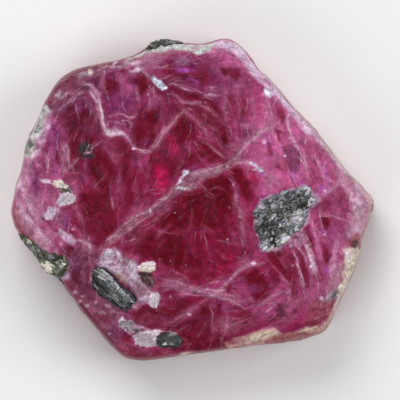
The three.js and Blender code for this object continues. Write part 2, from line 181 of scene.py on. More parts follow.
class Tone(Enum):
    """A tone of the stone: sRGB colour, roughness, clearness, relief in millimetres, and graininess."""

    BODY = ("#85204c", 0.34, 0.25, 0.0, 0.2)
    CRIMSON = ("#780a2c", 0.26, 0.5, 0.0, 0.1)
    WINDOW = ("#5c0314", 0.16, 0.9, -0.01, 0.0)
    WINE = ("#62102c", 0.26, 0.5, 0.0, 0.1)
    # Painted light: the hot crimson where light shines through the stone.
    GLOW = ("#d2084e", 0.24, 0.7, 0.0, 0.0)
    ROSE = ("#981c46", 0.3, 0.3, 0.0, 0.1)
    PINK = ("#cb5f9b", 0.32, 0.2, 0.0, 0.1)
    MAUVE = ("#a05079", 0.4, 0.1, 0.0, 0.3)
    PURPLE = ("#762a62", 0.32, 0.3, 0.0, 0.1)
    PLUM = ("#5c2846", 0.34, 0.3, 0.0, 0.1)
    VIOLET = ("#b456c8", 0.34, 0.2, 0.0, 0.1)
    VEIL = ("#a4647f", 0.42, 0.05, 0.006, 0.3)
    BLUSH = ("#c25c90", 0.36, 0.1, 0.0, 0.15)
    DUSK = ("#6c3a4c", 0.42, 0.1, 0.0, 0.5)
    CLAY = ("#905868", 0.42, 0.05, 0.006, 0.7)
    MILK = ("#c995ae", 0.45, 0.0, 0.01, 0.35)
    FROST = ("#ecd8e6", 0.45, 0.0, 0.012, 0.6)
    # Painted highlight: the bluish white of light flaring off fractures inside the stone.
    SHEEN = ("#d2d8e8", 0.3, 0.0, 0.012, 1.0)
    PEARL = ("#c2c4c0", 0.5, 0.0, 0.012, 0.35)
    LILAC = ("#d0b4ce", 0.5, 0.0, 0.012, 0.35)
    HAZE = ("#ac94a6", 0.5, 0.0, 0.01, 0.8)
    FELDSPAR = ("#d4c8d2", 0.65, 0.0, 0.02, 0.6)
    CREAM = ("#e3d9c4", 0.65, 0.0, 0.02, 0.35)
    BUFF = ("#c6a092", 0.7, 0.0, 0.02, 0.4)
    ASH = ("#8e8a90", 0.6, 0.0, 0.02, 1.0)
    OLIVE = ("#6d6650", 0.7, 0.0, 0.01, 1.0)
    RUST = ("#8a3c44", 0.5, 0.1, 0.0, 0.6)
    MICA = ("#2a3030", 0.35, 0.0, 0.0, 0.8)
    UMBER = ("#3e2e2c", 0.4, 0.0, 0.0, 0.8)
    RIND = ("#c8b2ac", 0.65, 0.0, 0.01, 0.5)


# Where a tone's numbers stand, after its red, green and blue.
ROUGHNESS, CLEARNESS, RELIEF, GRAININESS = range(3, 7)


def smooth(values: np.ndarray, low: float, high: float) -> np.ndarray:
    """Rises smoothly from 0 at `low` to 1 at `high`."""
    share = np.clip((values - low) / (high - low), 0.0, 1.0)
    return share * share * (3.0 - 2.0 * share)


def pair(text: str) -> Pair:
    """Two numbers, from text such as "12,34"."""
    first, second = text.split(",")
    return float(first), float(second)


def corners(path: Path) -> np.ndarray:
    """A path's corners on the plan, one row each, from text such as "12,34 56,78"."""
    return np.array([pair(corner) for corner in path.split()]) if isinstance(path, str) else path


def from_path(points: np.ndarray, path: np.ndarray) -> tuple[np.ndarray, np.ndarray, np.ndarray]:
    """Measures points against a line of points.

    Args:
        points: The points to measure, one row each.
        path: The line's corners, one row each.

    Returns:
        How far each point is from the line, which side it is on, and what share of the line it is along.
    """
    distance = np.full(len(points), np.inf)
    side = np.ones(len(points))
    share = np.zeros(len(points))
    last = len(path) - 1
    for i in range(last):
        start, run = path[i], path[i + 1] - path[i]
        away = points - start
        t = np.clip(away @ run / max(run @ run, 1e-12), 0.0, 1.0)
        gap = np.hypot(*(away - t[:, None] * run).T)
        nearer = gap < distance
        turned = np.where(run[0] * away[:, 1] > run[1] * away[:, 0], 1.0, -1.0)
        distance = np.where(nearer, gap, distance)
        side = np.where(nearer, turned, side)
        share = np.where(nearer, (i + t) / last, share)
    return distance, side, share


def box_round(path: np.ndarray, margin: float) -> Box:
    """The plan box round a path, wider by a margin on every side."""
    u, v = path.T
    return u.min() - margin, v.min() - margin, u.max() + margin, v.max() + margin


@dataclass(frozen=True)
class Stroke:
    """A line of colour, widest in its middle: a healed crack, a fibre or a band."""

    tone: Tone
    width: float
    strength: float
    path: Path
    # How far the colour reaches and how far it is seen, in widths, and how blunt the line's ends are.
    SOFTNESS = 0.55
    REACH = 2.2
    BLUNTNESS = 0.35

    def reach(self) -> Box:
        """The plan box outside which the mark can't be seen."""
        return box_round(corners(self.path), self.REACH * self.width + 1.0)

    def cover(self, plan: np.ndarray) -> np.ndarray:
        """Draws the line.

        Args:
            plan: Points on the plan, one row each.

        Returns:
            How much of each point the mark covers, from 0 to 1.
        """
        distance, _, share = from_path(plan, corners(self.path))
        taper = np.clip(np.sin(math.pi * np.clip(share, 0.02, 0.98)), 0.0, 1.0) ** self.BLUNTNESS
        return self.strength * taper * np.exp(-((distance / (self.SOFTNESS * self.width)) ** 2))


@dataclass(frozen=True)
class Sheet(Stroke):
    """A healed fracture seen aslant: crisp along its line, and fading away on the left of it."""

    BLUNTNESS = 0.5
    CRISP_SIDE = 1.6

    def cover(self, plan: np.ndarray) -> np.ndarray:
        """Draws the sheet.

        Args:
            plan: Points on the plan, one row each.

        Returns:
            How much of each point the mark covers, from 0 to 1.
        """
        distance, side, share = from_path(plan, corners(self.path))
        taper = np.clip(np.sin(math.pi * share), 0.0, 1.0) ** self.BLUNTNESS
        crisp = 1.0 - smooth(distance, 0.0, self.CRISP_SIDE)
        fading = np.where(side > 0.0, np.exp(-((distance / self.width) ** 2)), crisp)
        return self.strength * taper * fading


@dataclass(frozen=True)
class Spot:
    """A soft round or oval area of colour, whose edge is a share of its half width."""

    tone: Tone
    centre: Pair
    size: Pair
    strength: float
    turn: float = 0.0
    edge: float = 0.5

    def reach(self) -> Box:
        """The plan box outside which the mark can't be seen."""
        return box_round(np.array([self.centre]), max(self.size) * (1.0 + self.edge) + 2.0)

    def cover(self, plan: np.ndarray) -> np.ndarray:
        """Draws the spot.

        Args:
            plan: Points on the plan, one row each.

        Returns:
            How much of each point the mark covers, from 0 to 1.
        """
        c, s = math.cos(math.radians(self.turn)), math.sin(math.radians(self.turn))
        u, v = (plan - np.array(self.centre)).T
        # The plan's v runs down, so a positive turn is counter-clockwise to the eye.
        along, across = u * c - v * s, u * s + v * c
        distance = np.hypot(along / self.size[0], across / self.size[1])
        return self.strength * (1.0 - smooth(distance, 1.0 - self.edge, 1.0 + self.edge))


@dataclass(frozen=True)
class Patch:
    """A sharp-edged area of colour: a crystal's outline or a skin."""

    tone: Tone
    strength: float
    outline: Path
    edge: float = 1.5

    def reach(self) -> Box:
        """The plan box outside which the mark can't be seen."""
        return box_round(corners(self.outline), self.edge + 1.0)

    def cover(self, plan: np.ndarray) -> np.ndarray:
        """Fills the outline.

        Args:
            plan: Points on the plan, one row each.

        Returns:
            How much of each point the mark covers, from 0 to 1.
        """
        path = corners(self.outline)
        path = np.vstack([path, path[:1]])
        distance, _, _ = from_path(plan, path)
        inside = np.zeros(len(plan), bool)
        for (u0, v0), (u1, v1) in zip(path[:-1], path[1:]):
            crosses = (v0 > plan[:, 1]) != (v1 > plan[:, 1])
            at = u0 + (plan[:, 1] - v0) * (u1 - u0) / (v1 - v0 if v1 != v0 else 1.0)
            inside ^= crosses & (plan[:, 0] < at)
        signed = np.where(inside, distance, -distance)
        return self.strength * smooth(signed, -self.edge, self.edge)


Mark = Stroke | Spot | Patch


def read_marks(text: str) -> tuple[Mark, ...]:
    """Reads marks written one after another, each closed by a semicolon.

    A stroke is written `milk 2 .7: 80,84 84,83;`, with its width and strength before its path. A patch is
    `plum .85 6 [48,110 56,92 72,74];`, with its strength and edge before its outline. A spot is
    `wine .4 (90,234 9,8 -30 .9);`, with its strength before its centre, size, turn and edge. An edge or a
    turn left out has its usual value, and a tone left out is that of the mark before.

    Args:
        text: The marks, with comments on lines of their own.

    Returns:
        The marks, the lowest first.
    """
    lines = [line for line in text.splitlines() if not line.strip().startswith("#")]
    marks: list[Mark] = []
    for written in " ".join(lines).split(";")[:-1]:
        head, opening, place = re.split(r"\s*([:\[(])\s*", written.strip(" ])"))
        tone = Tone[head.split()[0].upper()] if head[0].isalpha() else marks[-1].tone
        numbers = [float(number) for number in head.split() if not number.isalpha()]
        if opening == ":":
            marks.append(Stroke(tone, *numbers, place))
        elif opening == "[":
            marks.append(Patch(tone, numbers[0], place, *numbers[1:]))
        else:
            centre, size, *rest = place.split()
            marks.append(Spot(tone, pair(centre), pair(size), *numbers, *(float(number) for number in rest)))
    return tuple(marks)


AREAS = read_marks("""
    mauve .75 (48,165 26,52); .6 (30,190 16,40); plum .5 (85,118 22,24); purple .4 (125,85 36,18); .55 (195,75
    42,20); mauve .5 (218,58 30,14); .5 (240,110 20,44 10); pink .8 (265,110 15,26 -12); .45 (283,125 22,22);
    .95 (275,182 26,16); .7 (262,150 20,18); .6 (292,168 16,22); crimson .6 (170,150 26,40); .6 (205,150
    34,40); .9 (195,250 48,44); rose .75 (246,222 14,40); .35 (125,195 40,30); crimson .6 (112,165 28,26);
    rose .5 (285,255 26,26); purple .5 (335,222 18,30); pink .4 (312,180 22,14); mauve .5 (340,265 16,30);
    pink .2 (245,292 26,14); wine .45 (212,326 44,18); mauve .45 (280,300 34,18); crimson .85 (215,342 46,10);
    plum .8 (84,268 20,30 30); rose .4 (250,326 34,8); veil .8 (360,212 9,26 -10); .3 (340,190 14,8 30); .7
    (24,188 10,30); plum .7 (110,322 26,20 -35); mauve .6 (132,348 26,8); .4 (62,235 22,20);
""")

# Washes over the scattered strokes; the plum and wine ones on the upper-left rim are partly painted shade.
WASHES = read_marks("""
    blush .62 9 [264,84 284,96 304,120 326,148 346,172 352,190 340,200 318,200 300,188 284,188 266,178 254,166
    250,152 256,132 258,108]; .5 8 [308,206 330,200 350,200 352,240 340,262 326,266 318,240 310,228]; veil .45
    6 [304,296 320,290 334,272 344,262 348,280 336,302 322,312 308,312]; plum .85 6 [48,110 56,92 72,74 96,64
    106,72 96,88 78,98 66,106 56,116]; .5 (182,80 18,6); wine .4 (90,234 9,8); window .5 (174,234 9,7); wine
    .5 (244,290 8,8); .2 (135,112 74,46 0 .9); .5 (134,236 10,8); window .5 (148,236 8,6); .5 (160,221 8,6);
    wine .5 (230,234 9,9); dusk .4 (146,318 12,7); milk .25 4 [330,268 344,262 346,276 338,296 330,290]; blush
    .4 (288,122 12,10); milk .35 4 [350,194 360,194 366,208 364,226 358,240 350,238 352,222]; wine .45 (76,165
    10,14); milk .4 (33,208 12,14 -30); dusk .5 7 [68,244 92,244 104,258 96,270 90,284 96,298 112,312 124,322
    114,336 98,326 84,306 70,286 64,268]; plum .5 5 [66,250 84,250 98,262 96,276 88,288 78,282 70,268]; rose
    .35 (256,108 8,14); wine .5 (84,166 14,10); blush .4 (314,290 9,9); wine .4 (244,234 7,9); .4 (146,94
    9,8); .4 (132,152 8,10); .5 (181,108 14,7); window .4 (172,236 10,8); wine .5 (130,248 8,6); blush .4
    (282,176 16,10); milk .3 (50,206 10,12); wine .4 (298,278 9,11); veil .4 (87,274 6,8); wine .5 (70,86 14,7
    -35); .5 (76,110 10,8); .4 (176,80 14,6); pink .45 (326,164 8,10); crimson .45 (202,158 9,7); wine .3
    (302,248 7,8); window .35 (132,234 8,7); crimson .5 (207,270 15,12); .6 (202,346 10,5); window .4 (174,262
    11,9); .35 (160,221 8,6); rose .4 (118,164 10,8); pink .4 (270,190 9,6); .4 (246,163 9,5); mauve .4
    (118,82 9,9); plum .35 (216,94 9,7); rust .3 (104,318 8,7); crimson .4 (230,220 9,8); .3 (188,178 9,7);
    milk .4 (46,236 9,7); wine .55 8 [126,312 150,300 166,310 190,318 214,312 240,316 250,330 232,340 214,352
    180,352 160,334 136,326]; veil .6 (146,319 9,6); .3 (118,156 8,14); .35 (230,332 8,6); mauve .35 (230,108
    8,8); rose .4 (188,136 9,8); veil .35 (146,80 8,6); .3 (286,318 8,6); wine .35 (104,318 7,7); blush .4
    (62,220 8,8); wine .35 (174,94 9,7); .35 (202,122 9,7); .3 (202,108 9,7); mauve .35 (202,66 10,6); crimson
    .35 (230,318 9,7); pink .3 (244,290 7,7); .3 (118,106 8,8); crimson .35 (160,136 8,7); wine .3 (342,220
    6,8); crimson .35 (202,234 11,9); .35 (202,206 10,9); .35 (132,248 7,6);
""")

# The middle: the long band's dark side, the great crimson window under it, and painted glow.
# The right: pink, with near upright streaks, windows towards the rim, and a little painted glow.
PANES = read_marks("""
    # Round the upper left: plum windows between mauve veils.
    plum .6 5 [60,110 72,100 80,97 88,99 94,106 97,118 100,128 96,134 85,130 78,128 70,131 64,124]; window .6
    6 [64,116 72,106 84,108 93,118 95,128 84,126 74,128 67,124]; .7 5 [70,130 80,130 92,134 98,140 92,146
    82,158 72,160 68,150 68,138]; purple .8 5 [46,122 56,124 62,136 62,150 54,160 47,148 44,134]; window .7 2
    [55,150 58,148 61,155 59,163 56,158]; purple .7 (78,108 4,6); window .8 3 [104,80 116,80 119,84 117,90
    110,92 105,88]; plum .7 3 [95,76 99,78 102,84 106,92 103,97 97,88]; window .85 3 [134,80 137,76 144,76
    148,79 150,84 147,90 143,95 140,93 137,88]; purple .6 5 [104,96 112,92 126,94 134,100 134,110 124,113
    110,114 104,106]; pink .55 3 [126,84 132,85 134,94 128,97 125,91]; .35 (151,98 8,9); purple .5 3 [107,119
    120,118 128,121 131,129 122,128 112,129]; window .85 4 [138,113 143,110 150,112 157,112 160,118 161,124
    159,132 155,139 149,144 141,147 137,140 134,131 135,121]; purple .6 3 [142,139 150,137 152,142 146,147
    141,145]; window .75 5 [173,118 182,114 190,120 195,130 194,139 186,146 178,142 173,132]; .45 5 [161,66
    170,60 196,62 208,70 212,82 204,86 186,80 172,80 160,74]; .65 3 [168,86 178,88 190,92 202,94 200,100
    186,100 178,94 170,92]; .8 3 [196,98 206,98 216,106 222,116 220,118 208,108 199,103]; .8 4 [194,106
    204,110 216,121 226,128 229,142 224,147 219,136 210,124 198,116]; .7 5 [196,146 206,143 218,152 224,158
    214,163 200,160 190,166 184,160 190,152]; .6 4 [163,158 176,156 182,164 178,174 168,178 163,168]; .7 3
    [219,68 228,67 240,70 241,76 236,80 229,76 222,74]; .25 (206,72 5,10); pink .5 (226,61 10,4); .2 (214,52
    9,5); purple .7 4 [174,58 190,56 200,60 198,68 184,66 172,68]; haze .4 3 [170,58 182,56 196,58 192,63
    178,66]; violet .95 (185,70 8,2.2 4); .45 (193,80 8,2 -18); window .4 3 [226,98 232,96 236,104 238,114
    232,118 227,110]; .35 3 [240,98 246,96 250,106 248,116 242,118 239,108]; plum .6 (248,135 6,5 -30);
    # The middle: the long band's dark side, and the great crimson window under it.
    window .8 5 [92,155 100,149 108,158 115,168 113,185 104,190 96,184 90,175 88,163]; .5 5 [118,140 126,142
    132,150 130,160 138,176 130,186 122,176 118,160 112,150]; veil .35 4 [107,150 118,148 123,156 118,163
    110,160]; window .75 5 [84,186 94,188 108,196 116,208 116,226 108,238 98,244 90,236 85,220 80,204]; .5 4
    [120,190 130,188 138,196 138,206 128,214 120,206]; .95 4 [181,195 192,190 203,184 218,180 228,184 233,192
    234,208 228,222 214,229 198,226 184,229 172,226 168,214 172,204]; .8 3 [204,179 214,178 222,174 230,178
    232,186 220,184 208,184]; .85 3 [229,170 237,166 243,172 250,182 254,196 250,204 244,198 238,184 232,176];
    .8 5 [160,214 170,208 172,222 164,230 152,234 140,240 136,252 144,258 158,258 170,262 184,258 188,246
    180,238 168,238 158,224]; .8 5 [158,240 174,238 186,244 196,256 206,272 196,278 184,270 170,268 158,260];
    crimson .7 6 [196,232 214,232 230,242 240,256 230,270 214,278 204,262 194,246]; window .5 4 [188,240
    200,244 204,256 200,266 192,256]; .5 (222,234 8,5); glow .8 4 [156,166 163,164 167,172 166,184 163,194
    158,196 155,186 154,174]; .35 4 [169,137 175,136 179,144 178,154 172,156 168,148]; .3 (254,177 6,6 0 .8);
    .25 (226,264 10,10 0 .8);
    # The right: pink, with near upright streaks, and windows towards the rim.
    violet .35 3 [261,133 267,132 271,141 270,150 264,147]; pink .9 2 [274,133 279,140 283,149 284,156 279,154
    275,144]; window .7 2 [276,130 280,131 282,141 279,140]; .55 2 [268,143 272,145 273,158 269,156]; .5 3
    [278,106 284,108 285,120 280,122]; pink .7 2.5 [260,146 266,150 268,164 262,160]; plum .85 3 [284,147
    292,144 297,150 301,157 300,166 296,172 289,170 285,160]; window .4 3 [276,162 286,160 290,170 282,172
    276,168]; violet .4 3 [287,172 293,170 298,177 295,182 289,180]; pink .8 (279,177 5,5); glow .3 3 [282,170
    288,172 290,182 284,182]; violet .7 (301,183 2,4 20); window .2 3 [303,142 310,140 318,143 325,151 328,160
    320,160 315,156 310,150 305,152]; .2 3 [308,158 315,160 319,168 321,178 316,186 310,184 308,170]; violet
    .4 2 [321,164 325,168 330,177 327,179 322,172]; window .2 3 [328,166 334,166 342,176 336,181 330,176];
    violet .45 3 [316,186 326,184 332,188 324,194 317,196]; window .2 3 [345,187 349,193 350,205 351,214
    338,213 322,209 326,200 336,193]; .8 2.5 [322,217 331,218 331,226 326,230 322,224]; .6 3 [322,243 328,246
    332,253 331,263 326,264 322,256]; pink .7 2.5 [308,214 313,217 317,232 321,248 324,262 319,262 315,246
    311,230]; window .5 2 [303,226 309,226 313,240 314,250 310,247 305,234]; purple .3 3 [324,230 332,228
    336,240 334,250 327,244]; violet .45 (327,271 3,5 20 .8);
    # The lower right.
    window .6 5 [270,252 284,250 294,258 296,270 290,280 280,272 268,262]; .5 2.5 [300,254 304,256 308,268
    309,288 304,290 300,276]; .4 3 [291,278 297,282 298,296 293,298 290,288]; .85 3.5 [243,276 256,268 266,276
    270,288 266,298 258,302 251,294 256,284 246,284]; purple .5 (254,289 6,5); window .8 2 [227,284 232,283
    233,290 228,292]; veil .4 (244,262 8,6); .35 (231,150 7,7); rust .6 4 [312,306 320,300 328,302 331,309
    328,316 318,322 308,326 304,322]; window .55 2.5 [278,303 283,303 285,314 281,320 277,314]; pink .15
    (266,314 8,8);
    # The foot.
    window .75 4 [166,303 176,298 190,297 196,302 186,308 174,316 164,316 160,310]; .75 3 [200,304 208,303
    212,310 206,316 198,316]; .7 2 [217,302 222,303 222,315 217,314]; .5 4 [138,308 150,306 162,310 164,320
    150,326 136,320 130,314]; .5 5 [236,308 250,310 260,318 254,326 240,320]; veil .5 (227,322 8,7); window .6
    4 [182,334 200,336 216,340 224,346 200,352 184,350]; .5 4 [188,318 204,322 212,332 200,334 188,328]; plum
    .8 3 [108,330 116,330 122,338 116,344 109,340]; window .5 3 [122,332 132,336 130,344 122,342]; purple .85
    3 [62,216 69,214 71,226 66,231 61,224]; window .6 2.5 [66,246 73,246 74,254 68,256]; .5 3 [72,272 79,272
    80,284 74,284]; .4 3 [84,262 92,266 92,280 86,280]; veil .4 4 [80,240 94,246 98,262 92,272 84,260];
""")

VEILS = read_marks("""
    clay .85 2 [110,236 130,217 150,208 165,195 175,183 185,177 190,172 200,170 212,167 225,163 234,156
    240,150 240,160 234,166 226,170 218,176 206,179 198,182 193,188 185,191 174,197 162,208 150,217 142,222
    128,233 114,243 104,245]; milk .6 2 [190,173 199,170 212,168 222,166 220,171 214,174 204,176 194,178];
    mauve .35 2 [60,86 70,77 84,72 94,71 92,76 80,80 72,84 64,94]; wine .8 2 [66,90 73,83 79,83 76,90 69,94];
    veil .5 2 [52,108 64,98 75,92 83,89 84,93 76,98 66,106 56,114]; wine 3 .5: 56,106 64,99 72,95; veil 3 .7:
    76,84 84,82 92,86 99,92; milk 2 .6: 92,267 90,276 92,286; ash .4 (146,290 5,4); haze .25 2.5 [178,184
    190,178 196,179 192,186 184,188 174,192]; veil 7 .8: 232,158 240,151 248,142 256,135 264,130 272,126
    278,122; milk 3.5 .5: 238,153 246,145 254,138 262,131 270,127; 5 .6: 232,163 240,162 250,163 258,166; veil
    1 [63,141 66,143 69,150 69,165 67,173 61,173 62,160 61,150]; 6 .7: 346,179 338,185 328,192 320,199
    313,205; clay 7 .5: 150,338 160,331 168,325 176,320 185,313 195,307 205,300 214,294 222,288; veil 5 .75:
    220,290 228,281 236,273 243,267 252,264 262,264; 4 .65: 257,307 266,301 272,297 278,293 285,292 292,293; 5
    .45: 251,50 250,77 254,112 256,130; 5 .45: 225,92 224,110 228,130 231,150; 6 .55: 346,186 354,200 358,222;
    5 .4: 52,106 60,99 70,92 82,86; 5 .5: 88,88 98,94 101,104; milk .8 2 [13,208 20,210 30,219 42,230 54,244
    60,252 56,257 46,254 38,246 30,238 22,230 14,220]; veil 6 .55: 100,72 102,80 104,90; 9 .6: 138,74 151,63
    164,55 182,50; 5 .5: 118,72 121,84 122,96; 4 .45: 150,226 162,214 176,203; 4 .45: 147,158 148,170 146,184;
    5 .4: 135,178 137,194 135,208; 4 .4: 122,165 120,180 122,195; 6 .6: 235,188 237,200 241,214 243,230
    243,246; clay 5 .2: 190,200 192,212 190,225 185,237; 4 .25: 203,228 205,240 206,248; veil 5 .5: 60,210
    64,222 62,232; 12 .4: 216,326 240,326 262,318; 5 .65: 150,150 156,145 160,139 165,131 172,124 178,117
    184,111; 4 .35: 184,111 190,116 198,122 205,131 208,138; 4 .5: 199,102 210,109 221,119; 4 .4: 205,142
    214,150 224,158 232,164; 4 .25: 120,246 128,236 136,226 142,222; 5 .4: 166,196 160,190 156,180; 7 .5:
    160,284 180,284 200,291 220,294 240,300; .5 4 [262,174 272,172 284,182 280,190 268,186]; 4 .6: 338,236
    338,252 334,264 336,280; 5 .5: 104,244 110,238 118,234 124,228; 4 .6: 70,168 75,160 80,156; purple 6 .35:
    29,170 36,186 42,202; 4 .35: 38,186 44,200 48,212; plum 4 .3: 32,160 36,172 38,180; lilac 3 .6: 18,170
    22,184 25,196 31,210 41,226; 3.5 .6: 17,200 25,214 37,228 49,243; milk 4 .6: 24,190 32,206 42,221 52,234;
    pink 4 .5: 44,118 50,130 52,144 50,158; .5 (46,196 5,6);
""")

VEINS = read_marks("""
    # The bent white line of the upper left, and what meets it.
    milk 2 .7: 80,84 84,83 89,85 93,88 97,94 99,100; frost 1.8 .8: 89,91 92,94 95,99 98,104; 3 1: 98,98
    100,108 101,115 103,122 105,128 107,133; 3.4 .95: 106,134 110,134 114,133 119,132 124,134; 1.8 .9: 114,127
    118,131 121,135; 2 .75: 123,134 128,137 131,142 133,147; milk 2 .85: 134,147 138,150 142,152 146,153
    150,151; 1.6 .35: 149,151 155,146 160,139 163,134 168,129 173,124; 1.4 .25: 162,133 169,127 178,117
    184,110; 1.4 .15: 184,110 190,116 196,120 202,127 207,135; 1.8 .7: 109,117 114,115 121,114 126,115 130,118
    135,117 137,113; 1.6 .5: 106,122 113,122 120,124 127,124; 1.6 .45: 118,122 127,120 132,124 131,130; 1.6
    .5: 135,84 137,92 138,102; 1.4 .4: 105,70 104,78 106,84; 2 .75: 88,73 96,70 104,67 113,67 122,67 128,69
    132,72 138,72; frost 2.2 .9: 130,72 135,71 140,70 143,69; milk 1.8 .8: 142,71 147,75 151,79; 1.8 .6:
    124,62 131,64 138,62 147,59; frost 2 .7: 112,66 114,62 118,59; milk 1.6 .6: 150,68 160,68 170,65; 1.6 .7:
    168,84 174,83 180,86 186,89 194,91; 1.6 .65: 167,95 174,94 179,97 183,102 191,103 198,103; frost 1.6 .6:
    186,102 194,102 202,102; 1.6 .6: 204,95 210,94 218,96; milk 1.6 .45: 193,89 201,92 206,95; 1.6 .45:
    200,104 211,111 221,119; 1.6 .55: 205,143 214,150 224,158; 1.4 .5: 201,52 213,52 223,51; 1.4 .4: 233,88
    240,85 249,86; 1.4 .35: 236,99 241,107 238,117; 1.4 .35: 245,95 249,104 245,113; 1.4 .4: 236,122 244,126
    252,124; 1.6 .5: 262,104 268,110 271,118 270,123; 1.4 .5: 266,98 270,106 273,116;
    # The left.
    milk 2 .65: 57,111 64,105 74,98 83,91; 1.8 .55: 50,108 57,100 66,93 74,95; 1.8 .45: 56,84 66,78 74,74
    86,71; 1.4 .45: 75,103 77,112 79,124; 1.4 .4: 76,99 83,97 88,102 85,109; 1.6 .6: 90,149 96,145 103,141;
    1.4 .55: 88,147 94,143 98,138; 1.4 .4: 56,146 60,152 62,160; 1.8 .5: 66,143 69,150 69,165 67,172; 1.8 .75:
    45,153 48,160 49,167 47,175; frost 2.2 .85: 32,159 34,154 37,151; milk 1.6 .6: 35,159 38,164 42,167; 1.6
    .6: 36,141 41,143 44,140; 1.4 .5: 70,168 74,162 79,157; 1.4 .5: 85,158 86,165 85,172; 1.4 .4: 68,172
    78,173 88,178; frost 1.8 .7: 20,178 20,187; 1.6 .6: 111,197 113,204 114,210; milk 1.4 .4: 60,208 57,216
    55,226; 1.4 .4: 75,207 80,216 84,226; frost 1.8 .8: 77,240 84,242 89,244; 2 .8: 88,243 90,247 89,251; milk
    1.6 .6: 88,235 89,241; 1.6 .5: 62,254 68,259 74,266; 1.4 .4: 54,232 60,238 66,246;
    # The long band across the middle, and the lines in the great window.
    milk 2 .45: 104,242 118,230 134,218 150,210 162,202 172,192; 1.6 .4: 112,242 126,232 142,220 154,213; 1.8
    .5: 106,240 113,238 120,233; 1.8 .5: 190,174 200,172 212,169 225,165 234,159; frost 1.6 .5: 175,185
    179,182 183,179; 1.8 .6: 174,189 179,187 184,188 189,189; milk 1.2 .3: 144,190 158,190 174,188; 1.2 .45:
    190,174 198,182 205,189 215,198; 1.2 .35: 209,191 213,188 218,187 226,191; 1.4 .4: 222,171 227,176 231,181
    234,187 235,193; 1.2 .3: 226,168 234,175; 1.2 .25: 235,193 238,203 242,216 243,230; 1.2 .25: 155,231
    170,233 186,236; 1.2 .3: 215,240 226,242 238,245; 1.2 .2: 190,203 192,213 190,226 186,236; 1.2 .2: 152,222
    162,212 174,204; 1.2 .2: 158,224 168,214 176,207; 1.2 .2: 203,228 205,238 207,248; 1.2 .4: 146,229 151,227
    154,224; 2.4 .45: 232,160 240,152 248,143 258,135 268,129 278,122; frost 2 .6: 238,163 246,162 252,163;
    # The right.
    frost 1.6 .8: 292,109 289,115 288,123 290,131 293,139 297,147 301,155 304,160; milk 1.6 .7: 303,150
    304,159 306,166 306,174; 1.6 .6: 312,145 315,155 318,163 321,170 324,177; 1.6 .6: 322,176 328,179 334,183
    341,182 347,179; 2 .55: 312,206 320,199 330,191 340,184; frost 1.8 .65: 351,192 352,200 355,208 357,218;
    milk 1.6 .5: 359,198 361,206 363,214; 1.4 .55: 319,217 331,216 341,220 352,222; 1.4 .45: 320,205 321,218
    323,230; 1.6 .4: 262,134 265,144 266,156; 1.6 .5: 272,132 277,142 282,152; 1.6 .5: 262,172 270,178
    280,186; 1.4 .45: 284,172 290,180 294,188; frost 1.8 .7: 350,237 352,231 358,229 364,232; milk 1.6 .5:
    310,216 314,230 318,246 323,260; 1.8 .7: 300,230 305,240 309,250 312,258 315,268 316,276; 1.6 .5: 305,232
    309,243 313,254 316,264; 1.6 .6: 296,243 300,250 305,256 308,263; 1.8 .6: 290,240 293,250 297,259 299,270;
    1.8 .6: 299,272 301,281 304,289 307,299; 1.6 .5: 316,270 318,280 320,292; 1.6 .5: 338,240 337,252 334,262
    335,276; 1.4 .5: 330,262 333,272 331,284 326,294; 1.6 .6: 281,274 286,280 291,285; 1.4 .35: 270,262
    276,269 282,275; frost 2 .5: 339,262 341,270 338,278 334,286;
    # The foot.
    milk 1.6 .3: 241,269 248,265 255,263 262,264 268,261; 1.6 .25: 221,288 228,281 236,273 243,267; 1.4 .3:
    258,306 267,300 274,295 281,292 290,292; frost 1.6 .7: 199,290 208,289 216,291 226,290; 1.6 .6: 202,296
    213,296 225,299 236,302; milk 1.4 .55: 234,302 241,305 247,310; 1.4 .5: 159,283 172,281 183,284 196,288;
    1.4 .5: 161,290 171,288 181,290 196,290; 1.4 .5: 178,293 190,294 203,296; 1.4 .4: 218,293 228,294 238,298;
    1.4 .3: 172,270 180,274 190,281; 1.2 .4: 150,286 166,285 184,288 204,292; 1.2 .4: 186,286 206,293 226,296;
    1.2 .2: 168,325 176,320 186,313 196,307; frost 1.6 .7: 133,323 140,327 150,331 161,332; milk 1.4 .35:
    210,304 213,316 212,328; 1.4 .35: 225,306 228,318 226,330;
""")
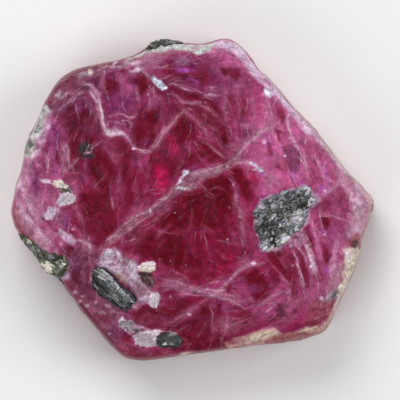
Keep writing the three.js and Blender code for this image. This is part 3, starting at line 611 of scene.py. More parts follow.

# Painted highlights: glints and bluish flares where light catches the stone's fractures,
# with a few pale veins, chips and flecks of the stone's own colours among them.
PAINTED_GLINTS_AND_FLECKS = read_marks("""
    frost .65 [106,131 110,129 115,130 122,131 126,134 120,136 112,137 107,135]; 2.2 .9: 99,101 101,112
    103,122 106,131; 2 .6: 90,92 94,97 97,101; 2.2 .6: 124,65 132,64 140,66; 2 .6: 76,74 84,72 92,73; wine 4
    .7: 149,80 153,86 159,91 165,93; sheen 1 1 [151,77 154,75 158,80 162,82 165,86 168,88 167,90 162,90 157,87
    154,83]; .9 .8 [183,170 187,170 189,173 186,176 182,178 180,182 177,183 179,178 182,175]; .8 .6 [174,189
    178,187 183,187 188,187 187,189 182,190 178,189]; 2.4 .9: 249,162 252,164 256,165 260,168 265,172; 1.8 .7:
    252,170 257,169 263,166; violet 2.2 .6: 256,172 261,174 267,174; frost .9 (251,163 2.2,1.6); sheen .7
    (260,170 2,1.6); .9 1.2 [264,90 268,86 271,89 274,94 270,98 266,95]; frost .5 (136,63 6,2 5); .85 (115,62
    3,2.2 30); cream .85 (90,72 4,2.6 -20); frost .6 (82,72 7,1.6 10); .8 (139,70 4,2.2 20); .8 (134,148
    2.4,1.2 15); .8 (151,210 1.1,1.8); milk .6 (147,210 .8,1.2); .7 (136,219 2.2,1 20); .6 (173,197 .8,.8); .6
    (176,202 .9,.8); frost .6 (227,166 2,.9 20); .6 (211,170 1,.9); milk .8 (233,184 .9,1.6); .6 (229,208
    .8,.9); .6 (240,217 1.6,.8); .4 (195,233 .9,.8); .6 (159,259 1,.8); .6 (173,270 .9,1); .5 (186,265 .8,.9);
    frost .9 (253,263 3.2,1.6 -10); .95 (81,301 2.2,1.4); lilac .9 (88,306 2.2,1.8); .7 (75,293 2.2,2); milk
    .7 (84,296 1.2,1); frost .8 (326,191 1.4,1.4); violet .9 (321,233 1.6,1); frost .7 (325,235 1.4,.9); .6
    (326,232 1,1); .5 (265,142 2,2.6); .8 (285,156 1.2,1.2); lilac .5 (324,165 1.6,2.6 -30); 3 .7: 310,254
    313,262 316,271; milk .8 (290,240 1.4,1.4); .8 (291,246 1.4,1.6); 1.4 .7: 296,233 299,236 301,241; 1.4 .6:
    299,241 301,246 300,250; .6 (296,241 1.6,1.4); frost 1.8 .7: 303,242 308,252 312,262 315,274; 1.6 .6:
    298,262 301,274 305,288; lilac 2 .5: 336,240 334,254 330,266 332,280; frost .7 (312,266 1.4,3 -20); lilac
    .7 (307,247 1.6,2.6); milk 1.6 .6: 337,256 336,264 334,271; 1.4 .6: 341,266 340,273 338,279; .5 (333,268
    2,4); frost .7 (189,314 1.4,1.2); .7 (110,335 1.6,1); .7 (48,126 1.8,2.4); .8 (46,181 4,2.2); milk .8
    (73,229 1.4,1.2); .6 (61,244 1.6,1.6); .7 (331,181 1.4,1); frost .8 (322,298 1.6,1.4);
""")

# Ways the stone's grain runs: a place on the plan, and the heading there in degrees, counter-clockwise.
GRAIN = (
    (50, 165, 92), (30, 200, 82), (70, 85, 38), (60, 105, 40), (85, 120, 84), (115, 100, 95),
    (150, 100, 88), (140, 62, 25), (190, 68, 4), (200, 92, -12), (215, 120, -38), (235, 60, -30),
    (242, 105, 95), (265, 105, 90), (288, 132, -66), (320, 160, -60), (262, 165, -80), (285, 170, -66),
    (345, 205, -84), (352, 225, -80), (325, 240, -74), (300, 255, -64), (210, 145, -42), (185, 130, 75),
    (150, 150, 92), (128, 175, 88), (110, 200, 80), (150, 200, 32), (185, 185, 30), (230, 165, 30),
    (212, 205, 50), (235, 200, -75), (170, 240, 70), (205, 245, -50), (100, 225, 88), (75, 215, -62),
    (40, 228, -40), (115, 240, 36), (85, 265, 75), (110, 320, -45), (190, 285, -8), (215, 295, -6),
    (190, 312, 32), (235, 300, -28), (255, 280, 40), (280, 275, -55), (305, 285, -75), (270, 305, 35),
    (300, 315, 15), (220, 325, 80), (150, 320, -30), (250, 335, 12), (340, 280, -70),
)
GRAIN_REACH = 16.0


def grain_heading(place: np.ndarray) -> float:
    """Looks up how the grain runs.

    Args:
        place: A place on the plan.

    Returns:
        The grain's heading there, in radians.
    """
    table = np.array(GRAIN, float)
    weight = np.exp(-np.sum((table[:, :2] - place) ** 2, axis=1) / (2.0 * GRAIN_REACH**2)) + 1e-9
    doubled = np.radians(2.0 * table[:, 2])
    return math.atan2(float(weight @ np.sin(doubled)), float(weight @ np.cos(doubled))) / 2.0


@dataclass(frozen=True)
class Scatter:
    """Strokes scattered all over the plan, along the stone's grain.

    Lengths and widths are in plan steps, from the least to the greatest, and the spread is how far the
    strokes stray from the grain, in degrees.
    """

    kind: type[Stroke]
    count: int
    lengths: Pair
    widths: Pair
    strengths: Pair
    spread: float
    tones: tuple[Tone, ...]
    # The plan's corners between which the strokes lie, and how far they bend, as a share of half a stroke.
    FIELD = ((5.0, 35.0), (380.0, 365.0))
    BEND = 0.1

    def marks(self) -> list[Mark]:
        """Draws the strokes, the same ones every time.

        Returns:
            The strokes, the lowest first.
        """
        draw = np.random.default_rng(SEED + self.count)
        marks: list[Mark] = []
        for _ in range(self.count):
            centre = draw.uniform(*self.FIELD)
            heading = grain_heading(centre) + math.radians(draw.normal(0.0, self.spread))
            length = draw.uniform(*self.lengths)
            along = np.array([math.cos(heading), -math.sin(heading)]) * length / 2
            bend = np.array([along[1], -along[0]]) * draw.normal(0.0, self.BEND)
            path = np.array([centre - along, centre + bend, centre + along])
            tone = self.tones[draw.integers(len(self.tones))]
            if draw.random() < 0.5:
                path = path[::-1]
            marks.append(self.kind(tone, draw.uniform(*self.widths), draw.uniform(*self.strengths), path))
        return marks


CLOUD_TONES = (
    Tone.VEIL, Tone.MAUVE, Tone.PINK, Tone.MAUVE, Tone.WINE, Tone.WINDOW, Tone.CRIMSON, Tone.PURPLE,
)
FIBRE_TONES = (Tone.VEIL, Tone.MILK, Tone.PINK, Tone.VEIL, Tone.WINE)
BROAD_CLOUDS = Scatter(Stroke, 260, (26.0, 60.0), (9.0, 18.0), (0.1, 0.35), 10.0, CLOUD_TONES)
FINE_CLOUDS = Scatter(Stroke, 1500, (10.0, 34.0), (2.6, 7.0), (0.12, 0.42), 16.0, CLOUD_TONES)
BROAD_SHEETS = Scatter(Sheet, 520, (12.0, 46.0), (4.0, 15.0), (0.15, 0.5), 14.0, CLOUD_TONES)
FINE_SHEETS = Scatter(Sheet, 420, (7.0, 26.0), (2.0, 7.0), (0.06, 0.24), 24.0, FIBRE_TONES)
PALE_HAIRS = Scatter(Stroke, 1500, (6.0, 24.0), (1.0, 1.8), (0.05, 0.42), 18.0, FIBRE_TONES)
DARK_HAIRS = Scatter(Stroke, 1300, (6.0, 26.0), (1.2, 2.6), (0.1, 0.5), 16.0, FIBRE_TONES)

# Soft clouds under all marks: tone, strength, where in the noise each is read, the size of its lumps in
# millimetres, the noise's octaves, and the levels of the noise between which the tone comes in.
CLOUDS = (
    (Tone.CRIMSON, 0.6, 3.0, 1.6, 4, 0.05, 0.7),
    (Tone.MAUVE, 0.5, 7.0, 1.3, 4, 0.1, 0.8),
    (Tone.PURPLE, 0.4, 11.0, 1.8, 3, 0.2, 0.9),
)

# The upper left and the left; the plum patch and wide wine line on the upper-left rim are painted shade.
SKINS_AND_RIM_SHADE = read_marks("""
    # The pale band along the top, the upper right and the right.
    veil 10 .5: 262,70 276,86 298,112 322,141 344,169 362,188; lilac 6 .75: 276,88 290,105 305,121 316,134
    328,149 344,171; pearl 3 .8: 318,136 332,154 346,172 356,182 366,192; ash .7 (353,178 4,2.4 -45); wine 8
    .5: 190,353 215,350 240,346; crimson 13 .65: 190,348 206,347 219,344; lilac .85 2 [282,90 294,104 308,122
    314,134 308,135 302,130 296,120 288,110 280,100]; frost 3 .8: 298,117 304,124 309,130; milk .65 4 [336,170
    350,178 363,192 371,208 368,224 362,238 352,234 354,218 351,204 346,192 338,180]; lilac 3 .6: 356,184
    365,196 369,208 368,222; frost 2.4 .6: 351,188 355,202 358,218 357,230; lilac 2.6 .6: 356,194 361,206
    364,220; .95 2 [206,34 219,30 236,31 252,43 266,64 278,82 286,96 280,100 271,92 262,84 252,75 244,64
    234,54 224,48 210,47]; frost 6 .55: 208,41 222,40 236,43 246,53 257,67 268,80; olive 1.8 .7: 262,66 273,80
    295,104 318,130 348,168 368,189 378,204 374,222 367,240 359,270 342,306 330,332; veil 10 .5: 130,58 146,50
    162,44 186,46 210,48; pearl 4 .7: 118,66 126,62 136,58; pink .3 (215,52 9,3 -15);
    # The upper left and the left.
    plum .6 2.5 [48,108 58,90 74,75 96,66 120,58 126,66 100,76 80,84 66,94 56,108]; wine 9 .75: 112,60 98,63
    80,69 66,78 55,90 47,104; olive .5 (108,63 6,2 15); feldspar .95 1.2 [40,102 48,106 45,116 43,124 40,132
    36,140 34,147 31,154 24,157 14,160 12,140 24,116]; olive .6 (36,126 3,4); .7 (28,143 4,4); ash .6 (40,113
    3,4); lilac .5 2.5 [45,112 52,110 50,126 44,142 40,156 34,158 37,144 42,130]; milk .5 3 [24,158 32,158
    34,176 28,194 22,208 14,208 14,190 19,172]; lilac 2.4 .8: 22,166 17,180 15,194 16,206; frost .5 (19,184
    2,5); rust 13 1: 7,196 9,216 17,231 32,246; wine 12 .9: 66,290 82,312 98,332 114,348; umber 4 .6: 58,284
    66,298 80,316 96,336 110,350; olive 2 .5: 78,308 90,324 104,342; lilac .8 (65,276 5,4);
    # The right and the foot.
    rust .5 2 [346,238 358,232 362,240 356,252 346,250]; lilac 2.6 .8: 348,238 351,232 357,229 362,231; cream
    3 .8: 366,196 374,204 375,214 372,228 367,240; mauve 2 .6: 351,186 354,198 355,212; 2 .6: 362,190 366,202
    367,218; lilac 1.8 .7: 355,184 359,196 361,212; olive .6 [361,246 370,240 360,276 344,312 330,334 326,326
    342,298 354,272]; ash .85 [326,302 330,294 340,286 344,288 338,296 330,303]; feldspar 2.4 .9: 324,301
    330,295 336,290 343,285; mica 1.6 .6: 330,299 335,295 340,291; rust .5 3 [328,300 340,296 336,312 328,324
    322,320 326,308]; cream 2 .7: 340,298 334,312 328,324; buff .9 1.2 [224,343 235,338 245,336 255,332
    265,329 275,328 280,331 283,334 295,332 302,329 312,327 322,325 330,320 334,312 342,318 328,342 300,352
    262,356 232,352]; cream .7 [246,338 256,334 268,331 280,331 276,335 264,338 250,343]; 1.8 .8: 300,331
    312,328 326,323; rust .75 2 [270,338 280,335 292,333 306,332 316,333 312,340 296,346 276,348]; olive .6
    (309,340 9,4); buff 1.6 .8: 284,342 296,339 306,338; cream 2.4 .9: 178,354 188,353 199,353; rust 5 .6:
    116,352 136,356 160,357 176,356;
""")

RINDS = read_marks("""
    # Weathered skin on the wall of the upper right and the right.
    rind 12 .85: 214,34 233,37 247,48 262,69 280,90 293,104 316,129 346,167 366,189 375,203 372,220 365,238
    357,268 340,305 328,330 314,338;
""")

# Chips of cream and frost, and a painted glint on the pink below the upper-right rim.
MINERALS = read_marks("""
    # Feldspar haze round the hornblende bundle.
    haze .85 2 [104,250 116,247 121,250 124,257 132,260 138,264 140,273 145,284 149,290 158,293 160,298
    159,304 155,308 148,304 140,303 138,298 132,290 124,282 116,276 106,268 98,266 99,258]; feldspar .85
    [105,251 112,249 113,256 112,262 106,263 104,257]; lilac .8 (119,254 3,4); .6 2 [98,262 106,262 114,264
    122,266 122,270 116,275 110,272 104,268]; feldspar .7 (118,271 5,3 20); .6 2 [130,263 137,265 138,274
    134,279 130,276 128,268]; ash 2.2 .8: 127,260 131,260 136,263; buff .6 [114,276 118,273 124,275 128,281
    122,282]; dusk .45 (138,290 8,6 -45); .4 (146,289 6,5); haze .5 (136,304 5,5); .35 (104,249 6,4); dusk .5
    (112,264 4,2); .5 (124,262 3,3); lilac .7 (143,299 4,2.5); feldspar .95 1.2 [151,293 157,292 160,297
    159,304 155,308 150,305 149,298]; frost .6 (155,298 3,4); 1 .8 [137,266 143,263 155,261 155,266 150,269
    143,268 138,269]; cream .95 1 [139,269 144,267 150,268 155,265 154,270 149,273 143,271]; umber .95 1
    [138,273 146,271 151,273 153,279 154,285 151,287 146,285 141,279]; haze 1.6 .6: 147,274 150,279 152,284;
    1.4 .4: 143,275 147,281; dusk .6 3 [96,300 104,298 114,306 120,314 114,320 104,314 97,308]; lilac .6
    (109,306 3,2 -30); .5 (103,313 2.4,2); .5 (96,303 2,2); milk .5 (113,312 3,2);
    # The foot.
    ash .9 1 [119,321 121,318 126,320 131,322 136,326 142,330 140,334 136,334 130,331 124,329 120,326]; umber
    .7 [134,328 140,329 139,333 135,333]; olive .5 (127,324 4,2 -25); frost 1.5 .9: 119,322 122,318 126,321;
    1.4 .8: 119,326 124,330 131,334; lilac 1.5 .7: 128,321 134,324 142,329; feldspar .95 1.2 [134,336 140,333
    150,331 160,332 158,337 157,345 150,348 142,346 136,342]; dusk .4 (148,341 4,2); frost 2 .8: 140,334
    150,331 160,332 166,333; mica .95 [157,337 165,334 173,333 177,338 178,344 173,348 165,348 159,346];
    feldspar 1.8 .7: 166,333 173,333 178,337; rust .6 [176,336 184,338 191,345 184,347 178,346];
    # The left.
    feldspar .95 1.2 [60,193 66,192 72,194 75,197 72,202 66,206 60,207 57,203]; cream 1.8 .8: 75,196 73,201
    67,205; .95 1 [52,182 55,180 61,181 67,185 66,188 58,186 53,184]; olive .95 1 [58,187 66,187 72,189 73,193
    68,193 60,191]; frost 1.4 .7: 64,187 70,188 74,192; 2.2 .8: 40,179 45,181 51,182; lilac .95 [48,207 57,208
    55,215 52,220 46,220 44,215]; mica 1.2 .5: 43,184 50,184; lilac .85 [60,228 66,232 74,238 76,243 72,246
    66,242 62,238 57,233]; mica 1.6 .9: 60,188 66,190 72,193; 1.2 .8: 64,187 69,187 73,190; pearl 1 1.2
    [134,46 150,38 166,30 206,34 214,40 210,51 200,54 192,52 184,50 174,49 166,50 156,53 148,54 138,58
    128,60]; .85 [40,100 48,104 48,112 45,120 44,128 41,135 37,141 35,148 31,157 14,160 12,140 24,116]; cream
    .9 1 [344,251 350,247 358,249 362,246 366,250 360,270 352,288 344,306 336,318 333,312 337,301 337,292
    341,282 344,272 345,262]; frost .6 (349,256 3,7 20); olive 2.5 .6: 360,247 358,260 354,272 349,286; buff 2
    .5: 345,264 348,272 345,280; olive 1.4 .5: 352,262 350,274 345,288; ash .9 (38,126 3,5); mica .7 (29,144
    3.4,4 20 .8); olive .6 (26,152 3,4); ash .8 (43,112 2,3); mica .5 (35,131 1.6,2.4 0 .8); frost .6 (37,136
    3,3 20); 2.4 .8: 31,158 34,153 38,150; lilac .7 (41,141 3,2); mica .6 (44,218 2,2); dusk .4 (60,220 5,7);
    lilac 2.4 .5: 60,207 58,212 54,218; olive .9 1.2 [15,235 24,235 31,239 38,244 45,251 53,255 61,256 68,262
    68,269 63,274 54,280 44,276 34,266 24,256 14,246]; mica .85 [17,237 26,238 34,244 42,252 46,260 44,268
    36,262 26,252]; .9 [50,258 58,257 66,262 66,269 58,274 52,268]; feldspar .7 (62,265 2.4,3.4); cream .9 1.2
    [44,262 49,260 53,264 53,270 48,271 44,267];
    # Chips of cream and frost.
    frost 1.6 .9: 53,92 58,96 61,91; 1.4 .7: 54,98 58,95 60,88; mica 1.2 .5: 52,96 57,93; cream .8 (90,71
    3.6,2 -30); haze .5 (82,74 7,2 20); frost 2.4 .8: 113,66 118,60; .9 (267,93 3,2.6);
    # The beds of the dark crystals.
    lilac .7 1.2 [256,207 261,199 270,195 276,196 282,190 292,188 302,184 309,187 314,193 318,201 311,211
    309,222 303,230 293,236 289,242 282,246 270,253 261,252 258,245 259,238 253,228 255,220 254,212]; ash .8
    .8 [258,208 262,200 270,197 282,192 292,190 302,186 308,189 312,195 313,202 307,210 307,220 302,227
    292,233 287,240 280,245 269,250 263,249 261,240 256,228 257,218]; mica .9 [260,208 264,202 271,199 284,197
    292,200 308,204 302,210 294,212 288,222 284,234 280,240 272,238 266,242 262,234 259,224 260,214]; wine .8
    .8 [272,236 276,239 275,247 271,246]; haze .5 3 [290,234 304,228 308,238 300,248 290,246 286,240]; lilac
    .6 (316,198 4,5 30); mica .95 1 [92,285 92,276 96,270 101,266 106,269 114,277 122,284 131,291 139,300
    133,304 127,312 118,308 109,301 97,294]; .95 [140,30 180,28 178,39 168,40 156,43 144,46]; umber .7 (86,150
    8,7 0 .8); mica 1 (84,147 5,4.4 0 .7); .8 (90,156 3,2.6 0 .8); haze .6 (87,153 3,1.8 20); mica .7 (84,156
    3,1.6 20 .8); 1.8 .6: 77,151 82,152 86,150; 1.6 .5: 80,143 84,147 88,145; milk 1.2 .7: 84,155 88,152
    92,148; mica .5 (100,175 2.6,3 0 .9); .35 (95,168 2.4,2.4 0 .9); .5 (157,116 2.6,2.4 0 .9); .35 (164,152
    4,3 0 .9); .5 (87,88 2.5,2 0 .9); .4 (206,206 3,2.5 0 .9); .4 (282,311 4,7 0 .9); umber .95 (356,244
    3.6,4); mica .6 (334,293 4,2 40); .6 (352,177 2,2);
""")


# ---- Shape -------------------------------------------------------------------------------------------------


class Noise:
    """Smooth seeded noise over points, from about -1 to 1."""

    VALUES = 256
    OCTAVE_SHIFT = 17.3

    def __init__(self, seed: int) -> None:
        """Draws the lattice's values.

        Args:
            seed: The fixed seed that they are drawn with.
        """
        draw = np.random.default_rng(seed)
        self.order = draw.permutation(self.VALUES)
        self.values = draw.uniform(-1.0, 1.0, self.VALUES)

    def __call__(self, points: np.ndarray, size: float | Triple, octaves: int = 1) -> np.ndarray:
        """Noise at each point.

        Args:
            points: Points in millimetres, one row each.
            size: Size of the noise's lumps in millimetres, or one size for each axis.
            octaves: How many times noise is laid on it, each time at half the size and half the height.

        Returns:
            One value for each point.
        """
        total = np.zeros(len(points))
        height = 1.0
        last = self.VALUES - 1
        for octave in range(octaves):
            p = points / (np.array(size) / 2**octave) + self.OCTAVE_SHIFT * octave
            cell = np.floor(p).astype(int)
            t = p - cell
            t = t * t * (3.0 - 2.0 * t)
            for corner in product((0, 1), repeat=3):
                i, j, k = ((cell + corner) & last).T
                value = self.values[self.order[(self.order[(self.order[i] + j) & last] + k) & last]]
                total += height * value * np.prod(np.where(corner, t, 1.0 - t), axis=1)
            height *= 0.5
        return total


@dataclass(frozen=True)
class StoneShape:
    """The stone's surface as formulas: its rim, its front and its back, in millimetres."""

    rim_samples: int = 24

    def rim(self, count: int) -> tuple[np.ndarray, np.ndarray, np.ndarray]:
        """Walks the widest section in even steps.

        Args:
            count: The number of places.

        Returns:
            Each place's point, its direction inwards, and the bevel's width there.
        """
        start = np.array(OUTLINE)
        before, after, beyond = (np.roll(start, shift, 0) for shift in (1, -1, -2))
        t = (np.arange(self.rim_samples) / self.rim_samples)[None, :, None]
        p0, p1, p2, p3 = (c[:, None, :] for c in (before, start, after, beyond))
        dense = 0.5 * (2 * p1 + (p2 - p0) * t + (2 * p0 - 5 * p1 + 4 * p2 - p3) * t**2
                       + (3 * p1 - p0 - 3 * p2 + p3) * t**3)
        dense = dense.reshape(-1, 3)
        dense = np.vstack([dense, dense[:1]])
        run = np.concatenate([[0.0], np.cumsum(np.hypot(*np.diff(dense[:, :2], axis=0).T))])
        at = np.arange(count) / count * run[-1]
        walked = np.stack([np.interp(at, run, dense[:, axis]) for axis in range(3)], axis=1)
        tangent = np.roll(walked, -1, 0) - np.roll(walked, 1, 0)
        inward = np.stack([-tangent[:, 1], tangent[:, 0]], axis=1)
        inward /= np.hypot(*inward.T)[:, None]
        return walked[:, :2], inward, walked[:, 2]

    def front(self, xy: np.ndarray) -> np.ndarray:
        """The ground front: crowned, gently swelling, and broken by dishes, ledges and pits.

        Args:
            xy: Places over the stone, one row each.

        Returns:
            The front's height at each.
        """
        x, y = xy.T
        swell = (0.5 * np.sin(0.9 * x + 1.7 * y + 0.6) + 0.3 * np.sin(2.1 * x - 1.3 * y + 2.2)
                 + 0.2 * np.sin(3.7 * x + 2.9 * y + 4.1))
        height = THICKNESS - CROWN * (x * x + y * y) / HALF_WIDTH**2 + SWELL * swell
        for cx, cy, length, width, turn, depth in DISHES:
            height -= depth * np.exp(-self.oval(xy, (cx, cy), (2 * length, 2 * width), turn) ** 2)
        for step, reach, path in LEDGES:
            distance, side, share = from_path(xy, np.array(path))
            taper = np.sqrt(np.clip(np.sin(math.pi * share), 0.0, 1.0))
            riser = np.tanh(distance / LEDGE_SHARPNESS) * np.exp(-distance / reach)
            height += side * (step / 2) * taper * riser
        for cx, cy, length, width, turn, depth in PITS:
            height -= depth * (1.0 - smooth(self.oval(xy, (cx, cy), (length, width), turn), *PIT_SIDE))
        return height

    def back(self, xy: np.ndarray) -> np.ndarray:
        """The sawn back: flat, and hollow in its few chips.

        Args:
            xy: Places under the stone, one row each.

        Returns:
            The back's height at each.
        """
        height = np.zeros(len(xy))
        for cx, cy, radius, depth in BACK_CHIPS:
            height += depth * (1.0 - smooth(np.hypot(xy[:, 0] - cx, xy[:, 1] - cy) / radius, *CHIP_SIDE))
        return height

    @staticmethod
    def oval(xy: np.ndarray, middle: Pair, size: Pair, turn: float) -> np.ndarray:
        """Measures places against an oval.

        Args:
            xy: The places, one row each.
            middle: The oval's middle.
            size: Its length and width.
            turn: How far it is turned counter-clockwise, in degrees.

        Returns:
            How far each place is from the oval's middle, where 1 is its edge.
        """
        c, s = math.cos(math.radians(turn)), math.sin(math.radians(turn))
        x, y = (xy - np.array(middle)).T
        return np.hypot((x * c + y * s) / (size[0] / 2), (y * c - x * s) / (size[1] / 2))

    @staticmethod
    def growth_step(around: np.ndarray) -> np.ndarray:
        """Where the wall steps in.

        Args:
            around: Shares of the way round the wall.

        Returns:
            How deep the growth step is at each.
        """
        turn = 2 * math.pi * around
        wave = np.sin(3 * turn + 1) + 0.8 * np.sin(7 * turn) + 0.4 * np.sin(16 * turn)
        return GROWTH_STEP * smooth(wave, 0.0, 1.2)

    @staticmethod
    def wandering(height: float, around: np.ndarray) -> np.ndarray:
        """A level of the wall, which runs a little up and down.

        Args:
            height: The level's height.
            around: Shares of the way round the wall.

        Returns:
            The height at each.
        """
        turn = 2 * math.pi * around
        wave = 0.6 * np.sin(2 * turn + 0.5) + 0.4 * np.sin(5 * turn + 2)
        share = height / THICKNESS
        return height + STEP_WANDER * wave * share * (1 - share)


def plan_of(xy: np.ndarray) -> np.ndarray:
    """The plan steps of points given in millimetres."""
    return np.array(PLAN_MIDDLE) + PLAN_STEPS_PER_MM * xy * (1.0, -1.0)


# ---- Nodes and finishes ------------------------------------------------------------------------------------

# Numbered sockets: a Map Range node's vector ranges, and a Random Value node's numbers.
VECTOR_FROM_MIN, VECTOR_FROM_MAX, VECTOR_TO_MIN, VECTOR_TO_MAX = range(7, 11)
RANDOM_MIN, RANDOM_MAX, RANDOM_VALUE = 2, 3, 1


def srgb(colour: str) -> list[float]:
    """A hex colour's red, green and blue from 0 to 1."""
    return [int(colour[i:i + 2], 16) / 255.0 for i in (1, 3, 5)]


def channels(tone: Tone) -> np.ndarray:
    """A tone as numbers: red, green and blue in sRGB, roughness, clearness, relief, graininess."""
    return np.array(srgb(tone.value[0]) + list(tone.value[1:]))


def to_linear(values: np.ndarray) -> np.ndarray:
    """sRGB values from 0 to 1 as linear light."""
    return np.where(values <= 0.04045, values / 12.92, ((values + 0.055) / 1.055) ** 2.4)


def linear(colour: str) -> tuple[float, ...]:
    """A hex colour as the linear RGBA that Blender's sockets take."""
    return (*(float(c) for c in to_linear(np.array(srgb(colour)))), 1.0)


def per_mm(size: float) -> float:
    """The texture scale whose pattern repeats about every `size` millimetres."""
    return 1.0 / (size * MM)


def add_node(tree: Tree, kind: str, inputs: dict | None = None, **settings: object) -> Node:
    """Adds a node to a tree.

    Args:
        tree: The tree that takes the node.
        kind: The node's type name.
        inputs: A socket to link from, or a value, for each of the node's inputs by name or number.
        **settings: The node's own properties.

    Returns:
        The new node.
    """
    node = tree.nodes.new(kind)
    for name, value in settings.items():
        setattr(node, name, value)
    for name, value in (inputs or {}).items():
        if isinstance(value, Socket):
            tree.links.new(value, node.inputs[name])
        else:
            node.inputs[name].default_value = value
    return node


def fill_ramp(ramp: bpy.types.ColorRamp, stops: Stops, top: float = 1.0) -> None:
    """Fills a ramp with colours.

    Args:
        ramp: The ramp.
        stops: Each colour's level, and the colour in hex.
        top: The level at which the ramp ends.
    """
    while len(ramp.elements) < len(stops):
        ramp.elements.new(1.0)
    for element, (level, colour) in zip(ramp.elements, stops):
        element.position = level / top
        element.color = linear(colour)


def new_material(name: str) -> tuple[bpy.types.Material, Tree, Socket]:
    """A material with an empty tree.

    Args:
        name: The material's name.

    Returns:
        The material, its tree, and the socket of Object coordinates.
    """
    material = bpy.data.materials.new(name)
    material.use_nodes = True
    tree = material.node_tree
    tree.nodes.clear()
    return material, tree, add_node(tree, "ShaderNodeTexCoord").outputs["Object"]


